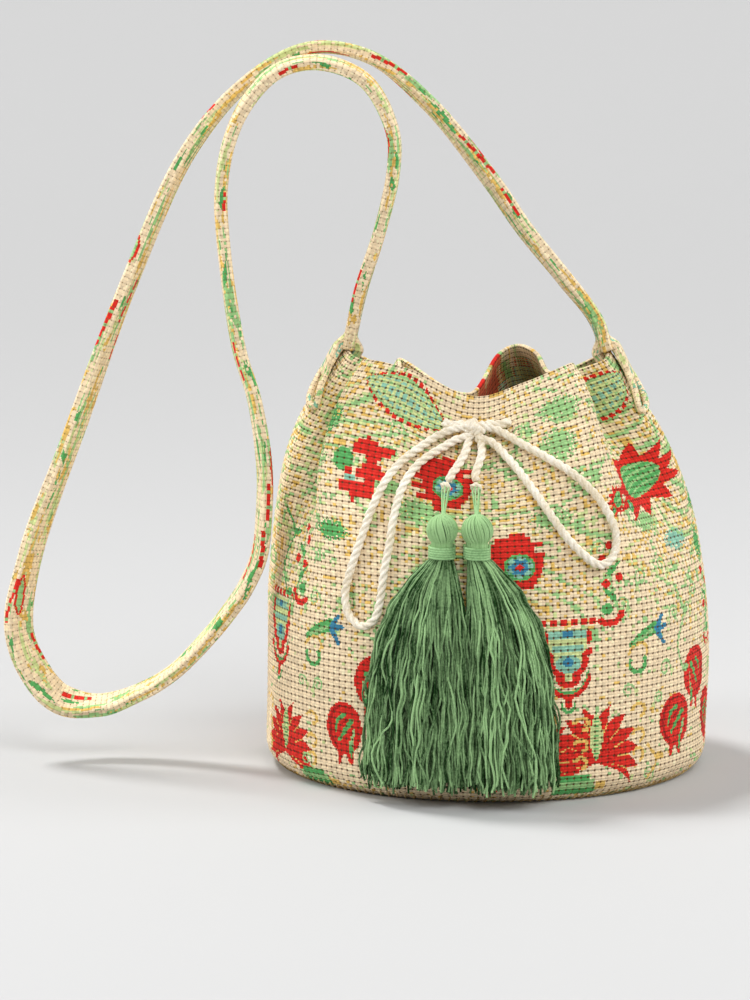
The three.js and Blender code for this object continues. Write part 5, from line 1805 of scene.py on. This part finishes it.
@dataclass(frozen=True)
class Studio:
    """A seamless pale sweep, soft lights and the camera at the photograph's angle."""

    pitch: float = 8.0
    distance: float = 1.8
    aim: tuple[float, float, float] = (-0.0558, 0.0, 0.13075)
    lens: float = 130.1
    sweep_colour: str = "#bebebe"

    def camera(self) -> None:
        """Place the camera."""
        data = bpy.data.cameras.new("camera")
        data.sensor_fit = "AUTO"
        data.sensor_width = 36.0
        data.lens = self.lens
        data.clip_start, data.clip_end = 0.05, 20.0
        camera = bpy.data.objects.new("camera", data)
        a = math.radians(self.pitch)
        back = Vector((0, -math.cos(a), math.sin(a)))
        camera.location = Vector(self.aim) + self.distance * back
        camera.rotation_euler = (math.pi / 2 - a, 0, 0)
        bpy.context.scene.collection.objects.link(camera)
        bpy.context.scene.camera = camera

    def sweep(self) -> None:
        """Make the floor that curves up into the backdrop."""
        a = np.linspace(0, math.pi / 2, 13)
        radius, far = 10.0, 4.0
        depth = [-30.0, -7.0, -1.0, 1.0, *(far + radius * np.sin(a)), far + radius]
        height = [0.0, 0.0, 0.0, 0.0, *(radius * (1 - np.cos(a))), 14.0]
        wide = (-30, -12, -6, -3, 0, 3, 6, 12, 30)
        vertices = [(x, y, z) for y, z in zip(depth, height) for x in wide]
        faces = []
        for r in range(len(depth) - 1):
            for c in range(len(wide) - 1):
                i = r * len(wide) + c
                faces.append((i, i + 1, i + 1 + len(wide), i + len(wide)))
        mesh = bpy.data.meshes.new("paper_sweep")
        mesh.from_pydata(vertices, [], faces)
        mesh.polygons.foreach_set("use_smooth", [True] * len(faces))
        # Background paper: plain and matt
        material = bpy.data.materials.new("matt_paper")
        material.use_nodes = True
        tree = material.node_tree
        tree.nodes.clear()
        shader = add_node(
            tree, "ShaderNodeBsdfPrincipled", {"Base Color": linear(self.sweep_colour), "Roughness": 0.85}
        )
        add_node(tree, "ShaderNodeOutputMaterial", {"Surface": shader.outputs["BSDF"]})
        mesh.materials.append(material)
        obj = bpy.data.objects.new("paper_sweep", mesh)
        bpy.context.scene.collection.objects.link(obj)

    def light(self, name: str, place: tuple, aim: tuple, size: float, power: float) -> None:
        """Hang one soft square light."""
        data = bpy.data.lights.new(name, "AREA")
        data.shape = "SQUARE"
        data.size = size
        data.energy = power
        lamp = bpy.data.objects.new(name, data)
        lamp.location = place
        lamp.rotation_euler = (Vector(aim) - Vector(place)).to_track_quat("-Z", "Y").to_euler()
        bpy.context.scene.collection.objects.link(lamp)

    def far_light(self, name: str, place: tuple, spread: float, power: float) -> None:
        """Hang one soft light so far away, towards a place, that it lights everything evenly."""
        data = bpy.data.lights.new(name, "SUN")
        data.angle = math.radians(spread)
        data.energy = power
        lamp = bpy.data.objects.new(name, data)
        lamp.location = place
        lamp.rotation_euler = Vector(place).to_track_quat("Z", "Y").to_euler()
        bpy.context.scene.collection.objects.link(lamp)

    def lights(self) -> None:
        """Hang the lights and set the sky's even grey."""
        self.far_light("overhead_light", (-0.42, 0.32, 1.0), 14.0, 2.25)
        self.far_light("front_light", (0.4, -1.0, 1.1), 35.0, 1.45)
        self.light("left_key_light", (-1.4, -0.3, 0.7), (0, 0, 0.1), 0.6, 9.0)
        self.light("right_fill_light", (1.4, -0.1, 0.9), (0, 0, 0.1), 0.6, 9.0)
        world = bpy.data.worlds.new("studio")
        world.use_nodes = True
        tree = world.node_tree
        tree.nodes.clear()
        sky = add_node(tree, "ShaderNodeBackground", {"Color": (1.0, 1.0, 1.0, 1.0), "Strength": 0.3})
        add_node(tree, "ShaderNodeOutputWorld", {"Surface": sky.outputs[0]})
        bpy.context.scene.world = world
        bpy.context.scene.view_settings.view_transform = "Standard"

    def build(self) -> None:
        """Set the whole studio."""
        self.camera()
        self.sweep()
        self.lights()


def main() -> None:
    """Build the studio and every piece of the bag, in order."""
    logging.basicConfig(level=logging.INFO, format="%(name)s: %(message)s")
    Studio().build()
    drawstring = Drawstring()
    drawstring.build()
    BagCloth().build()
    ShoulderStrap().build()
    # Dyed cotton yarn, matt; painted shade makes it pale on the strands in front and deep green between; the
    # thread is smoother
    uneven = {"strand_weight": 0.8, "pale_from": 0.84, "pale_to": 1.6}
    yarn = TwistedCotton("tassel_yarn", "#a0c78c", "#103809", roughness=0.8, **uneven).build()
    thread = TwistedCotton("tassel_thread", "#a5cf94", "#3f7038", roughness=0.75, **uneven).build()
    Tassel(Side.LEFT, -24.4, -35.0, 23.5, TAIL_LEFT, seed=5).build(drawstring, yarn, thread)
    Tassel(Side.RIGHT, -8.0, 8.0, 20.5, TAIL_RIGHT, strands=520, seed=9).build(drawstring, yarn, thread)
    Base().build()


if __name__ == "__main__":
    main()
